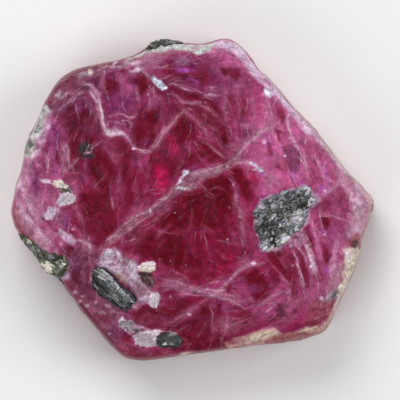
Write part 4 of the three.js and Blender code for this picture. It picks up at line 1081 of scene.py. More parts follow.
@dataclass(frozen=True)
class RubyFinish:
    """Corundum, sawn and ground but not polished: a satin gloss over a translucent, veined, crimson body."""

    name: str = "ruby_ground_satin"
    ior: float = 1.76
    mottle_mm: float = 0.3
    sugar_mm: float = 0.11
    tooth_mm: float = 0.09
    tooth_height_mm: float = 0.015
    speck_mm: float = 0.22
    open_crack: str = "#3a0416"
    healed_crack: str = "#ecbccc"
    # The painted highlights' colour: specks where a fracture's facet catches the light.
    painted_glint: str = "#f2dcea"
    clear_shine: str = "#ffacba"
    cloudy_shine: str = "#ffffff"

    def build(self) -> bpy.types.Material:
        """Builds the material from the painted attributes and finer patterns.

        Returns:
            The material.
        """
        material, tree, at = new_material(self.name)
        tint = add_node(tree, "ShaderNodeAttribute", attribute_name="tint").outputs["Color"]
        rough = add_node(tree, "ShaderNodeAttribute", attribute_name="rough").outputs["Fac"]
        grain = add_node(tree, "ShaderNodeAttribute", attribute_name="grain").outputs["Fac"]

        # Cloudy mottling, about as coarse as the stone's fine fractures.
        mottle = add_node(tree, "ShaderNodeTexNoise", {
            "Vector": at, "Scale": per_mm(self.mottle_mm), "Detail": 5.0, "Roughness": 0.75,
            "Distortion": 0.4,
        }).outputs["Fac"]
        lighter = add_node(tree, "ShaderNodeMapRange", {
            "Value": mottle, "From Min": 0.32, "From Max": 0.7, "To Min": 0.5, "To Max": 1.46,
        }).outputs["Result"]
        mottled = add_node(tree, "ShaderNodeVectorMath", {0: tint, "Scale": lighter}, operation="SCALE")

        # Sugary grains, light and dark, wherever the stone is grainy.
        sugar = add_node(tree, "ShaderNodeTexNoise", {
            "Vector": at, "Scale": per_mm(self.sugar_mm), "Detail": 3.0,
        }).outputs["Fac"]
        spread = add_node(tree, "ShaderNodeMapRange", {
            "Value": sugar, "From Min": 0.38, "From Max": 0.62, "To Min": -0.5, "To Max": 0.5,
        }, clamp=False).outputs["Result"]
        grained = add_node(tree, "ShaderNodeMath", {0: spread, 1: grain}, operation="MULTIPLY").outputs[0]
        sugared = add_node(tree, "ShaderNodeMath", {0: grained, 1: 0.8, 2: 1.0}, operation="MULTIPLY_ADD")
        tone = add_node(tree, "ShaderNodeVectorMath", {
            0: mottled.outputs[0], "Scale": sugared.outputs[0],
        }, operation="SCALE").outputs[0]

        # Hair-fine cracks: open ones look dark, and healed ones pale and dotted.
        dotted = add_node(tree, "ShaderNodeMapRange", {
            "Value": sugar, "From Min": 0.4, "From Max": 0.58, "To Min": 0.3, "To Max": 1.3,
        }).outputs["Result"]
        hairs = add_node(tree, "ShaderNodeMath", {
            0: self.lines(tree, "pale_lines"), 1: dotted,
        }, operation="MULTIPLY", use_clamp=True).outputs[0]
        # Then the painted highlights: bright specks where a fracture's facet catches the light.
        for share, colour in (
            (self.lines(tree, "dark_lines"), self.open_crack), (hairs, self.healed_crack),
            (self.specks(tree, at, grain), self.painted_glint),
        ):
            tone = add_node(tree, "ShaderNodeMix", {
                "Factor": share, "A": tone, "B": linear(colour),
            }, data_type="RGBA").outputs["Result"]

        tooth = add_node(tree, "ShaderNodeTexNoise", {
            "Vector": at, "Scale": per_mm(self.tooth_mm), "Detail": 4.0, "Roughness": 0.6,
        }).outputs["Fac"]
        height = add_node(tree, "ShaderNodeMath", {0: hairs, 1: 0.6, 2: tooth}, operation="MULTIPLY_ADD")
        bump = add_node(tree, "ShaderNodeBump", {
            "Strength": 0.5, "Distance": self.tooth_height_mm * MM, "Height": height.outputs[0],
        })
        gloss = add_node(tree, "ShaderNodeMath", {
            0: mottle, 1: 0.12, 2: rough,
        }, operation="MULTIPLY_ADD", use_clamp=True)
        # What shines back out of the clear red stone is red too, and out of its pale veils white.
        green = add_node(tree, "ShaderNodeSeparateColor", {"Color": tone}).outputs["Green"]
        cloudy = add_node(tree, "ShaderNodeMapRange", {"Value": green, "From Min": 0.02, "From Max": 0.08})
        shine = add_node(tree, "ShaderNodeMix", {
            "Factor": cloudy.outputs["Result"], "A": linear(self.clear_shine), "B": linear(self.cloudy_shine),
        }, data_type="RGBA")
        shader = add_node(tree, "ShaderNodeBsdfPrincipled", {
            "Base Color": tone, "Roughness": gloss.outputs[0], "IOR": self.ior, "Specular IOR Level": 0.2,
            "Specular Tint": shine.outputs["Result"], "Normal": bump.outputs["Normal"],
        })
        add_node(tree, "ShaderNodeOutputMaterial", {"Surface": shader.outputs["BSDF"]})
        return material

    @staticmethod
    def lines(tree: Tree, name: str) -> Socket:
        """Lines drawn from the signed distances kept in attributes, crisp and finer than the mesh.

        Args:
            tree: The material's tree.
            name: The lines' name, with which their attributes' names start.

        Returns:
            The socket with the lines' strength, from 0 to 1.
        """
        total: Socket | float = 0.0
        for part in range(FineLines.PARTS):
            across = add_node(tree, "ShaderNodeAttribute", attribute_name=f"{name}_across_{part}")
            strength = add_node(tree, "ShaderNodeAttribute", attribute_name=f"{name}_strength_{part}")
            away = add_node(tree, "ShaderNodeVectorMath", {0: across.outputs["Vector"]}, operation="ABSOLUTE")
            profile = add_node(tree, "ShaderNodeMapRange", {
                "Vector": away.outputs[0], VECTOR_TO_MIN: (1.0, 1.0, 1.0), VECTOR_TO_MAX: (0.0, 0.0, 0.0),
            }, data_type="FLOAT_VECTOR", interpolation_type="SMOOTHSTEP")
            drawn = add_node(tree, "ShaderNodeVectorMath", {
                0: profile.outputs["Vector"], 1: strength.outputs["Vector"],
            }, operation="DOT_PRODUCT")
            total = add_node(tree, "ShaderNodeMath", {
                0: total, 1: drawn.outputs["Value"],
            }, operation="ADD", use_clamp=True).outputs[0]
        return total

    def specks(self, tree: Tree, at: Socket, grain: Socket) -> Socket:
        """Bright specks where a fracture's facet catches the light: rare, but common where stone is grainy.

        Args:
            tree: The material's tree.
            at: Object coordinates.
            grain: How grainy the stone is.

        Returns:
            The socket with the specks' strength, from 0 to 1.
        """
        cells = add_node(tree, "ShaderNodeTexVoronoi", {"Vector": at, "Scale": per_mm(self.speck_mm)})
        least = add_node(tree, "ShaderNodeMapRange", {"Value": grain, "To Min": 0.965, "To Max": 0.62})
        chosen = add_node(tree, "ShaderNodeMath", {
            0: cells.outputs["Color"], 1: least.outputs["Result"],
        }, operation="GREATER_THAN")
        spot = add_node(tree, "ShaderNodeMapRange", {
            "Value": cells.outputs["Distance"], "From Max": 0.28, "To Min": 0.6, "To Max": 0.0,
        })
        return add_node(tree, "ShaderNodeMath", {
            0: chosen.outputs[0], 1: spot.outputs["Result"],
        }, operation="MULTIPLY").outputs[0]


@dataclass(frozen=True)
class MicaFinish:
    """Dark mica and hornblende, split by growth: dark glossy flakes, each with a painted silvery gleam."""

    name: str = "mica_dark_cleaved"
    # Dark to pale; the palest are painted highlights, the silvery gleam of flakes that face the light.
    stops: Stops = (
        (0.2, "#1a1717"), (0.45, "#3a3b3c"), (0.75, "#696b6c"), (1.0, "#a09fa2"), (1.3, "#dcd8dc"),
    )
    brightest: float = 1.4
    streak_mm: float = 0.07
    stain_mm: float = 0.3

    def build(self) -> bpy.types.Material:
        """Builds the material, in which each crystal's own shade is read from the attribute `shade`.

        Returns:
            The material.
        """
        material, tree, at = new_material(self.name)
        shade = add_node(tree, "ShaderNodeAttribute", attribute_name="shade").outputs["Fac"]
        streaks = add_node(tree, "ShaderNodeTexNoise", {
            "Vector": at, "Scale": per_mm(self.streak_mm), "Detail": 3.0,
        })
        level = add_node(tree, "ShaderNodeMath", {
            0: streaks.outputs["Fac"], 1: 0.5, 2: shade,
        }, operation="MULTIPLY_ADD")
        share = add_node(tree, "ShaderNodeMath", {0: level.outputs[0], 1: self.brightest}, operation="DIVIDE")
        shades = add_node(tree, "ShaderNodeValToRGB", {"Fac": share.outputs[0]})
        fill_ramp(shades.color_ramp, self.stops, self.brightest)
        stain = add_node(tree, "ShaderNodeTexNoise", {
            "Vector": at, "Scale": per_mm(self.stain_mm), "Detail": 2.0,
        })
        tinge = add_node(tree, "ShaderNodeMapRange", {
            "Vector": stain.outputs["Color"],
            VECTOR_FROM_MIN: (0.35, 0.35, 0.35), VECTOR_FROM_MAX: (0.65, 0.65, 0.65),
            VECTOR_TO_MIN: (0.88, 0.92, 0.88), VECTOR_TO_MAX: (1.14, 1.06, 1.16),
        }, data_type="FLOAT_VECTOR")
        stained = add_node(tree, "ShaderNodeVectorMath", {
            0: shades.outputs["Color"], 1: tinge.outputs["Vector"],
        }, operation="MULTIPLY")
        shader = add_node(tree, "ShaderNodeBsdfPrincipled", {
            "Base Color": stained.outputs[0], "Roughness": 0.28, "IOR": 1.6, "Specular IOR Level": 0.7,
        })
        add_node(tree, "ShaderNodeOutputMaterial", {"Surface": shader.outputs["BSDF"]})
        return material


@dataclass(frozen=True)
class FeldsparFinish:
    """Feldspar broken by sawing: sugary pale grains with small pearly cleavage faces."""

    name: str = "feldspar_broken_sugary"
    stops: Stops = ((0.1, "#9c8894"), (0.35, "#c6b8c4"), (0.6, "#dcd4dc"), (0.95, "#e6decc"))
    cloud_mm: float = 0.1

    def build(self) -> bpy.types.Material:
        """Builds the material, in which a grain's attribute `shade` takes it from lilac grey to cream.

        Returns:
            The material.
        """
        material, tree, at = new_material(self.name)
        shade = add_node(tree, "ShaderNodeAttribute", attribute_name="shade").outputs["Fac"]
        cloud = add_node(tree, "ShaderNodeTexNoise", {
            "Vector": at, "Scale": per_mm(self.cloud_mm), "Detail": 4.0,
        })
        level = add_node(tree, "ShaderNodeMath", {
            0: cloud.outputs["Fac"], 1: 0.5, 2: shade,
        }, operation="MULTIPLY_ADD")
        shades = add_node(tree, "ShaderNodeValToRGB", {"Fac": level.outputs[0]})
        fill_ramp(shades.color_ramp, self.stops)
        shader = add_node(tree, "ShaderNodeBsdfPrincipled", {
            "Base Color": shades.outputs["Color"], "Roughness": 0.45, "IOR": 1.53,
        })
        add_node(tree, "ShaderNodeOutputMaterial", {"Surface": shader.outputs["BSDF"]})
        return material


@dataclass(frozen=True)
class FloorFinish:
    """Pale matt card: even, with a barely visible tooth."""

    name: str = "card_pale_matt"
    colour: str = "#f4f3f1"
    tooth_mm: float = 0.4
    tooth_height_mm: float = 0.02

    def build(self) -> bpy.types.Material:
        """Builds the material.

        Returns:
            The material.
        """
        material, tree, at = new_material(self.name)
        tooth = add_node(tree, "ShaderNodeTexNoise", {
            "Vector": at, "Scale": per_mm(self.tooth_mm), "Detail": 3.0,
        })
        bump = add_node(tree, "ShaderNodeBump", {
            "Strength": 0.1, "Distance": self.tooth_height_mm * MM, "Height": tooth.outputs["Fac"],
        })
        shader = add_node(tree, "ShaderNodeBsdfPrincipled", {
            "Base Color": linear(self.colour), "Roughness": 0.85, "Specular IOR Level": 0.2,
            "Normal": bump.outputs["Normal"],
        })
        add_node(tree, "ShaderNodeOutputMaterial", {"Surface": shader.outputs["BSDF"]})
        return material


# ---- The ruby body -----------------------------------------------------------------------------------------


class Paint:
    """Tones laid over the stone's points, one on another, as a painter glazes."""

    def __init__(self, points: np.ndarray, plan: np.ndarray) -> None:
        """Starts with the plain body tone everywhere.

        Args:
            points: The stone's points, in millimetres.
            plan: Their places on the plan.
        """
        self.points = points
        self.plan = plan
        self.layers = np.tile(channels(Tone.BODY), (len(points), 1))

    def lay(self, tone: Tone, cover: np.ndarray) -> None:
        """Lays a tone over all points, as thick as `cover` says at each."""
        self.layers += cover[:, None] * (channels(tone) - self.layers)

    def draw(self, marks: Sequence[Mark], fade: np.ndarray) -> None:
        """Draws marks in order.

        Args:
            marks: The marks, the lowest first.
            fade: How strong any mark may be at each point, from 0 to 1.
        """
        u, v = self.plan.T
        for mark in marks:
            u0, v0, u1, v1 = mark.reach()
            near = np.flatnonzero((u > u0) & (u < u1) & (v > v0) & (v < v1) & (fade > 0.0))
            if len(near):
                cover = mark.cover(self.plan[near]) * fade[near]
                self.layers[near] += cover[:, None] * (channels(mark.tone) - self.layers[near])

    def draw_ruffled(self, marks: Sequence[Mark], fade: np.ndarray, steps: float) -> None:
        """Draws marks with ragged edges.

        Args:
            marks: The marks, the lowest first.
            fade: How strong any mark may be at each point, from 0 to 1.
            steps: About how far the edges stray, in plan steps.
        """
        noise = Noise(SEED + 3)
        calm = self.plan
        shifts = [noise(self.points + place, RUFFLE_MM, 2) for place in (51.3, 102.6)]
        self.plan = calm + steps * np.stack(shifts, axis=1)
        self.draw(marks, fade)
        self.plan = calm


class FineLines:
    """Lines finer than the mesh: each point keeps how far it is from one, so that the finish draws it crisp.

    A point can keep one line on each of a few channels. A distance is signed and counted in the line's half
    widths, and the channels go in threes into the vectors that the finish reads.
    """

    PARTS = 2
    CHANNELS = 3 * PARTS
    REACH = 3.4
    FULL_REACH = 1.6
    UNLINED = 9.0

    def __init__(self, plan: np.ndarray) -> None:
        """Starts with no line anywhere.

        Args:
            plan: The points' places on the plan.
        """
        self.plan = plan
        self.away = np.full((len(plan), self.CHANNELS), np.inf)
        self.across = np.full((len(plan), self.CHANNELS), self.UNLINED)
        self.strength = np.zeros((len(plan), self.CHANNELS))

    def draw(self, lines: Sequence[Stroke], fade: np.ndarray) -> None:
        """Draws lines, each on the channel that is emptiest where it runs.

        Args:
            lines: The lines.
            fade: How strong any line may be at each point, from 0 to 1.
        """
        u, v = self.plan.T
        for line in lines:
            path = corners(line.path)
            u0, v0, u1, v1 = box_round(path, self.REACH)
            near = np.flatnonzero((u > u0) & (u < u1) & (v > v0) & (v < v1) & (fade > 0.0))
            distance, side, share = from_path(self.plan[near], path)
            within = distance < self.REACH
            near, distance, side, share = near[within], distance[within], side[within], share[within]
            if not len(near):
                continue
            channel = int(np.argmin(self.strength[near].sum(axis=0)))
            closer = distance < self.away[near, channel]
            near, distance, side, share = near[closer], distance[closer], side[closer], share[closer]
            taper = np.clip(np.sin(math.pi * share), 0.0, 1.0) ** 0.5
            taper *= 1.0 - smooth(distance, self.FULL_REACH, self.REACH)
            self.away[near, channel] = distance
            self.across[near, channel] = side * distance / (0.5 * line.width)
            self.strength[near, channel] = line.strength * taper * fade[near]

    def store(self, mesh: bpy.types.Mesh, name: str) -> None:
        """Writes the lines to a mesh's attributes.

        Args:
            mesh: The mesh, whose points are the plan's.
            name: The lines' name, with which the attributes' names start.
        """
        for part in range(self.PARTS):
            channels_of_part = slice(3 * part, 3 * part + 3)
            for kind, values in (("across", self.across), ("strength", self.strength)):
                attribute = mesh.attributes.new(f"{name}_{kind}_{part}", "FLOAT_VECTOR", "POINT")
                attribute.data.foreach_set("vector", values[:, channels_of_part].astype(np.float32).ravel())


@dataclass(frozen=True)
class Skin:
    """The stone's surface as numbers: points in millimetres, the way out at each, and triangles."""

    points: np.ndarray
    outward: np.ndarray
    faces: np.ndarray


@dataclass(frozen=True)
class RubyBody:
    """The stone's own surface as one fine closed mesh, painted and given its relief."""

    shape: StoneShape
    front_rings: int = 156
    back_rings: int = 32
    wall_levels: int = 12
    bevel_levels: int = 7
    # The relief's share on the bevel, and the height over which it comes in at the foot, in millimetres.
    bevel_lift: float = 0.7
    calm_foot: float = 0.3

    def build(self, finish: bpy.types.Material) -> tuple[bpy.types.Object, Skin]:
        """Builds the painted body.

        Args:
            finish: The ruby's material.

        Returns:
            The body's object, in metres, and its skin.
        """
        points, outward, faces = self.surface()
        paint = self.painted(points)
        points = points + outward * self.relief(points, paint)[:, None]
        mesh = bpy.data.meshes.new("ruby")
        mesh.from_pydata((points * MM).tolist(), [], faces.tolist())
        mesh.shade_smooth()
        tint = mesh.attributes.new("tint", "FLOAT_COLOR", "POINT")
        rgba = np.ones((len(points), 4), np.float32)
        rgba[:, :3] = to_linear(np.clip(paint.layers[:, :3], 0.0, 1.0))
        tint.data.foreach_set("color", rgba.ravel())
        for column, name in ((ROUGHNESS, "rough"), (GRAININESS, "grain")):
            attribute = mesh.attributes.new(name, "FLOAT", "POINT")
            attribute.data.foreach_set("value", paint.layers[:, column].astype(np.float32))
        for name, lines in self.lined(points, paint).items():
            lines.store(mesh, name)
        mesh.materials.append(finish)
        body = bpy.data.objects.new("ruby", mesh)
        bpy.context.scene.collection.objects.link(body)
        return body, Skin(points, outward, faces)

    def surface(self) -> tuple[np.ndarray, np.ndarray, np.ndarray]:
        """The smooth surface: rings over the front, down the bevel and wall, and over the back.

        Returns:
            The points, the direction that relief lifts each of them in, and the triangles.
        """
        rings: list[tuple[np.ndarray, np.ndarray]] = []
        up, still = np.array([0.0, 0.0, 1.0]), np.zeros(3)

        def face_ring(count: int, share: float, inset_bevel: float, inset: float, front: bool) -> None:
            """Adds a ring of a face.

            Args:
                count: The number of its points.
                share: How large it is, as a share of the face.
                inset_bevel: How far the face is set in, in widths of the bevel.
                inset: How far it is set in besides, in millimetres.
                front: Whether it is on the front.
            """
            place, inward, bevel = self.shape.rim(count)
            xy = share * (place + inward * (inset + inset_bevel * bevel)[:, None])
            height = self.shape.front(xy) if front else self.shape.back(xy)
            rings.append((np.column_stack([xy, height]), np.tile(up if front else still, (count, 1))))

        rings.append((np.array([[0.0, 0.0, self.shape.front(np.zeros((1, 2)))[0]]]), up[None]))
        for k in range(1, self.front_rings + 1):
            face_ring(6 * k, k / self.front_rings, 1.0, WALL_TOP_INSET, True)

        count = 6 * self.front_rings
        place, inward, bevel = self.shape.rim(count)
        outwards = -np.column_stack([inward, np.zeros(count)])
        brink = self.shape.front(place + inward * (WALL_TOP_INSET + bevel)[:, None])
        shares, drops = zip(*BEVEL)
        for crossed in np.linspace(1.0, BEVEL[0][0], self.bevel_levels)[1:]:
            inset = (WALL_TOP_INSET + crossed * bevel)[:, None]
            height = brink - np.interp(crossed, shares, drops) * bevel
            lift = self.bevel_lift * (outwards + up)
            rings.append((np.column_stack([place + inward * inset, height]), lift))

        around = np.arange(count) / count
        heights, insets, steps = zip(*WALL)
        levels = np.unique(np.concatenate([np.linspace(0.0, heights[-1], self.wall_levels), heights]))[::-1]
        for level in levels:
            inset = np.interp(level, heights, steps) * self.shape.growth_step(around)
            inset = (np.interp(level, heights, insets) + inset)[:, None]
            height = self.shape.wandering(level, around)
            lift = outwards * min(1.0, level / self.calm_foot)
            rings.append((np.column_stack([place + inward * inset, height]), lift))

        for k in range(self.back_rings - 1, 0, -1):
            face_ring(6 * k, k / self.back_rings, 0.0, WALL[0][1], False)
        rings.append((np.zeros((1, 3)), still[None]))

        points = np.vstack([ring for ring, _ in rings])
        outward = np.vstack([lift for _, lift in rings])
        counts = [len(ring) for ring, _ in rings]
        firsts = np.concatenate([[0], np.cumsum(counts)[:-1]])
        faces = np.vstack([self.stitched(firsts[i], counts[i], firsts[i + 1], counts[i + 1])
                           for i in range(len(rings) - 1)])
        return points, outward, faces

    @staticmethod
    def stitched(a_first: int, a_count: int, b_first: int, b_count: int) -> np.ndarray:
        """Triangles between two rings, walking round both together.

        Args:
            a_first: Number of the first ring's first point.
            a_count: How many points the first ring has.
            b_first: Number of the second ring's first point.
            b_count: How many points the second ring has.

        Returns:
            The triangles, one row each.
        """
        keys = np.concatenate([(np.arange(a_count) + 0.5) / a_count, (np.arange(b_count) + 0.5) / b_count])
        on_b = np.argsort(keys, kind="stable") >= a_count
        j = np.cumsum(on_b) - on_b
        i = np.cumsum(~on_b) - ~on_b
        third = np.where(on_b, b_first + (j + 1) % b_count, a_first + (i + 1) % a_count)
        faces = np.stack([a_first + i % a_count, b_first + j % b_count, third], axis=1)
        whole = (faces[:, 0] != faces[:, 1]) & (faces[:, 1] != faces[:, 2]) & (faces[:, 0] != faces[:, 2])
        return faces[whole]

    def painted(self, points: np.ndarray) -> Paint:
        """Paints the stone: its cloudy ground, then the marks of its front, which fade and wander with depth.

        A number added to the points reads the noise in another place, so that no two patterns are alike.

        Args:
            points: The smooth surface's points, in millimetres.

        Returns:
            The paint.
        """
        noise = Noise(SEED)
        depth = np.clip(THICKNESS - points[:, 2], 0.0, THICKNESS)
        upright = plan_of(points[:, :2])
        wander = WANDER_AT_FRONT + WANDER_GAINED * smooth(depth, *WANDER_BETWEEN)
        for axis in range(2):
            shifted = points + 31.7 * (axis + 1)
            upright[:, axis] += 0.5 * noise(shifted, 0.35, 2) + wander * noise(shifted, 2.2, 2)
        # What is in the stone runs down through it aslant, so it crosses the wall in slanting bands.
        plan = upright + np.outer(np.clip(depth - SLANT_FROM, 0.0, None), SLANT)
        paint = Paint(points, plan)
        for tone, strength, place, size, octaves, low, high in CLOUDS:
            paint.lay(tone, strength * smooth(noise(points + place, size, octaves), low, high))

        whole = np.ones(len(points))
        uneven = np.clip(0.85 + 0.5 * noise(points + 23.0, 0.4, 2), 0.2, 1.3)
        paint.draw(AREAS, whole)
        paint.draw(BROAD_CLOUDS.marks(), uneven)
        paint.draw(FINE_CLOUDS.marks(), uneven)
        paint.draw(BROAD_SHEETS.marks(), whole)
        paint.draw(WASHES, whole)
        paint.draw_ruffled(PANES, np.clip(0.9 + 0.4 * noise(points + 29.0, 0.5, 2), 0.3, 1.0), 1.2)
        paint.draw(FINE_SHEETS.marks(), whole)
        paint.draw(VEILS, uneven)
        paint.draw([replace(vein, width=VEIN_GLOW * vein.width) for vein in VEINS], 0.3 * uneven)
        paint.draw(VEINS, 0.35 * uneven)
        # Painted highlights: glints and flares, with a few flecks of the stone's own colours.
        paint.draw_ruffled(PAINTED_GLINTS_AND_FLECKS, whole, 1.1)

        side = smooth(depth, *WALL_BELOW) * (1.0 - smooth(depth, *WALL_ABOVE))
        paint.lay(Tone.RUST, 0.5 * side * smooth(noise(points, (1.8, 1.8, 0.4), 3), -0.5, 0.6))
        ragged = smooth(noise(points + 5.0, 0.35, 3), -0.9, 0.0)
        ending = depth + 0.8 * smooth(depth, 0.5, 1.1) * noise(points + 41.0, (0.8, 0.8, 0.5), 3)
        paint.plan = upright
        torn = smooth(depth, *RINDS_BELOW) * (0.5 + 0.5 * ragged)
        paint.draw(RINDS, torn * (1.0 - smooth(ending, *RINDS_END)))
        paint.plan = plan
        # Skins, with painted shade along the upper-left rim.
        paint.draw(SKINS_AND_RIM_SHADE, (0.4 + 0.6 * ragged) * (1.0 - smooth(ending, *SKINS_END)))
        crisp = np.clip(0.7 + 0.5 * ragged, 0.0, 1.0) * (1.0 - smooth(ending, *MINERALS_END))
        paint.draw_ruffled(MINERALS, crisp, 1.6)
        return paint

    def lined(self, points: np.ndarray, paint: Paint) -> dict[str, FineLines]:
        """The stone's fine lines: its drawn veins, and hair-fine cracks all over that follow the grain.

        Args:
            points: The body's points, in millimetres.
            paint: The body's paint.

        Returns:
            The pale lines and the dark ones, by their attributes' names.
        """
        noise = Noise(SEED + 2)
        front = 1.0 - smooth(THICKNESS - points[:, 2], *LINES_END)
        broken = np.clip(0.7 + 0.7 * noise(points, 0.5, 2) + 0.5 * noise(points, 0.16, 1), 0.0, 1.2) * front
        # Clear stone has few healed cracks.
        veiled = broken * np.clip(1.1 - 1.2 * paint.layers[:, CLEARNESS], 0.15, 1.0)
        pale, dark = FineLines(paint.plan), FineLines(paint.plan)
        pale.draw(self.splintered(VEINS, 0.5, 0.0), 0.65 * broken)
        pale.draw(self.splintered(VEINS, 0.8, 1.3), 0.35 * broken)
        pale.draw(PALE_HAIRS.marks(), veiled)
        dark.draw(DARK_HAIRS.marks(), broken)
        return {"pale_lines": pale, "dark_lines": dark}

    @staticmethod
    def splintered(veins: Sequence[Stroke], jag: float, aside: float) -> list[Stroke]:
        """Veins as cracks run: short straight splinters that stray from the drawn line.

        Args:
            veins: The veins as drawn.
            jag: How far each splinter's end strays, in plan steps.
            aside: How far each vein may run beside its line, in plan steps.

        Returns:
            The splintered veins.
        """
        draw = np.random.default_rng(SEED + int(10 * jag))
        cracks: list[Stroke] = []
        for vein in veins:
            path = corners(vein.path)
            run = np.concatenate([[0.0], np.cumsum(np.hypot(*np.diff(path, axis=0).T))])
            at = np.linspace(0.0, run[-1], max(3, int(run[-1] / SPLINTER_STEPS)))
            places = np.stack([np.interp(at, run, path[:, axis]) for axis in range(2)], axis=1)
            places += draw.normal(0.0, jag, places.shape) + draw.normal(0.0, aside, 2)
            cracks.append(replace(vein, width=VEIN_CRACK * vein.width, path=places))
        return cracks

    def relief(self, points: np.ndarray, paint: Paint) -> np.ndarray:
        """Lifts the painted tones, roughens the grainy ones, and stripes the wall.

        Args:
            points: The smooth surface's points, in millimetres.
            paint: The body's paint.

        Returns:
            How far each point stands out of the smooth surface, in millimetres.
        """
        noise = Noise(SEED + 1)
        wall = smooth(THICKNESS - points[:, 2], 0.5, 1.2)
        fine = ROUGH_MM * noise(points, 0.2, 3) * (0.4 + paint.layers[:, GRAININESS])
        striped = STRIPE_MM * noise(points, (1.6, 1.6, 0.1), 2) + UNEVEN_MM * noise(points, 0.9, 3)
        return paint.layers[:, RELIEF] + fine + wall * striped


# ---- Crystals grown in the ruby ----------------------------------------------------------------------------


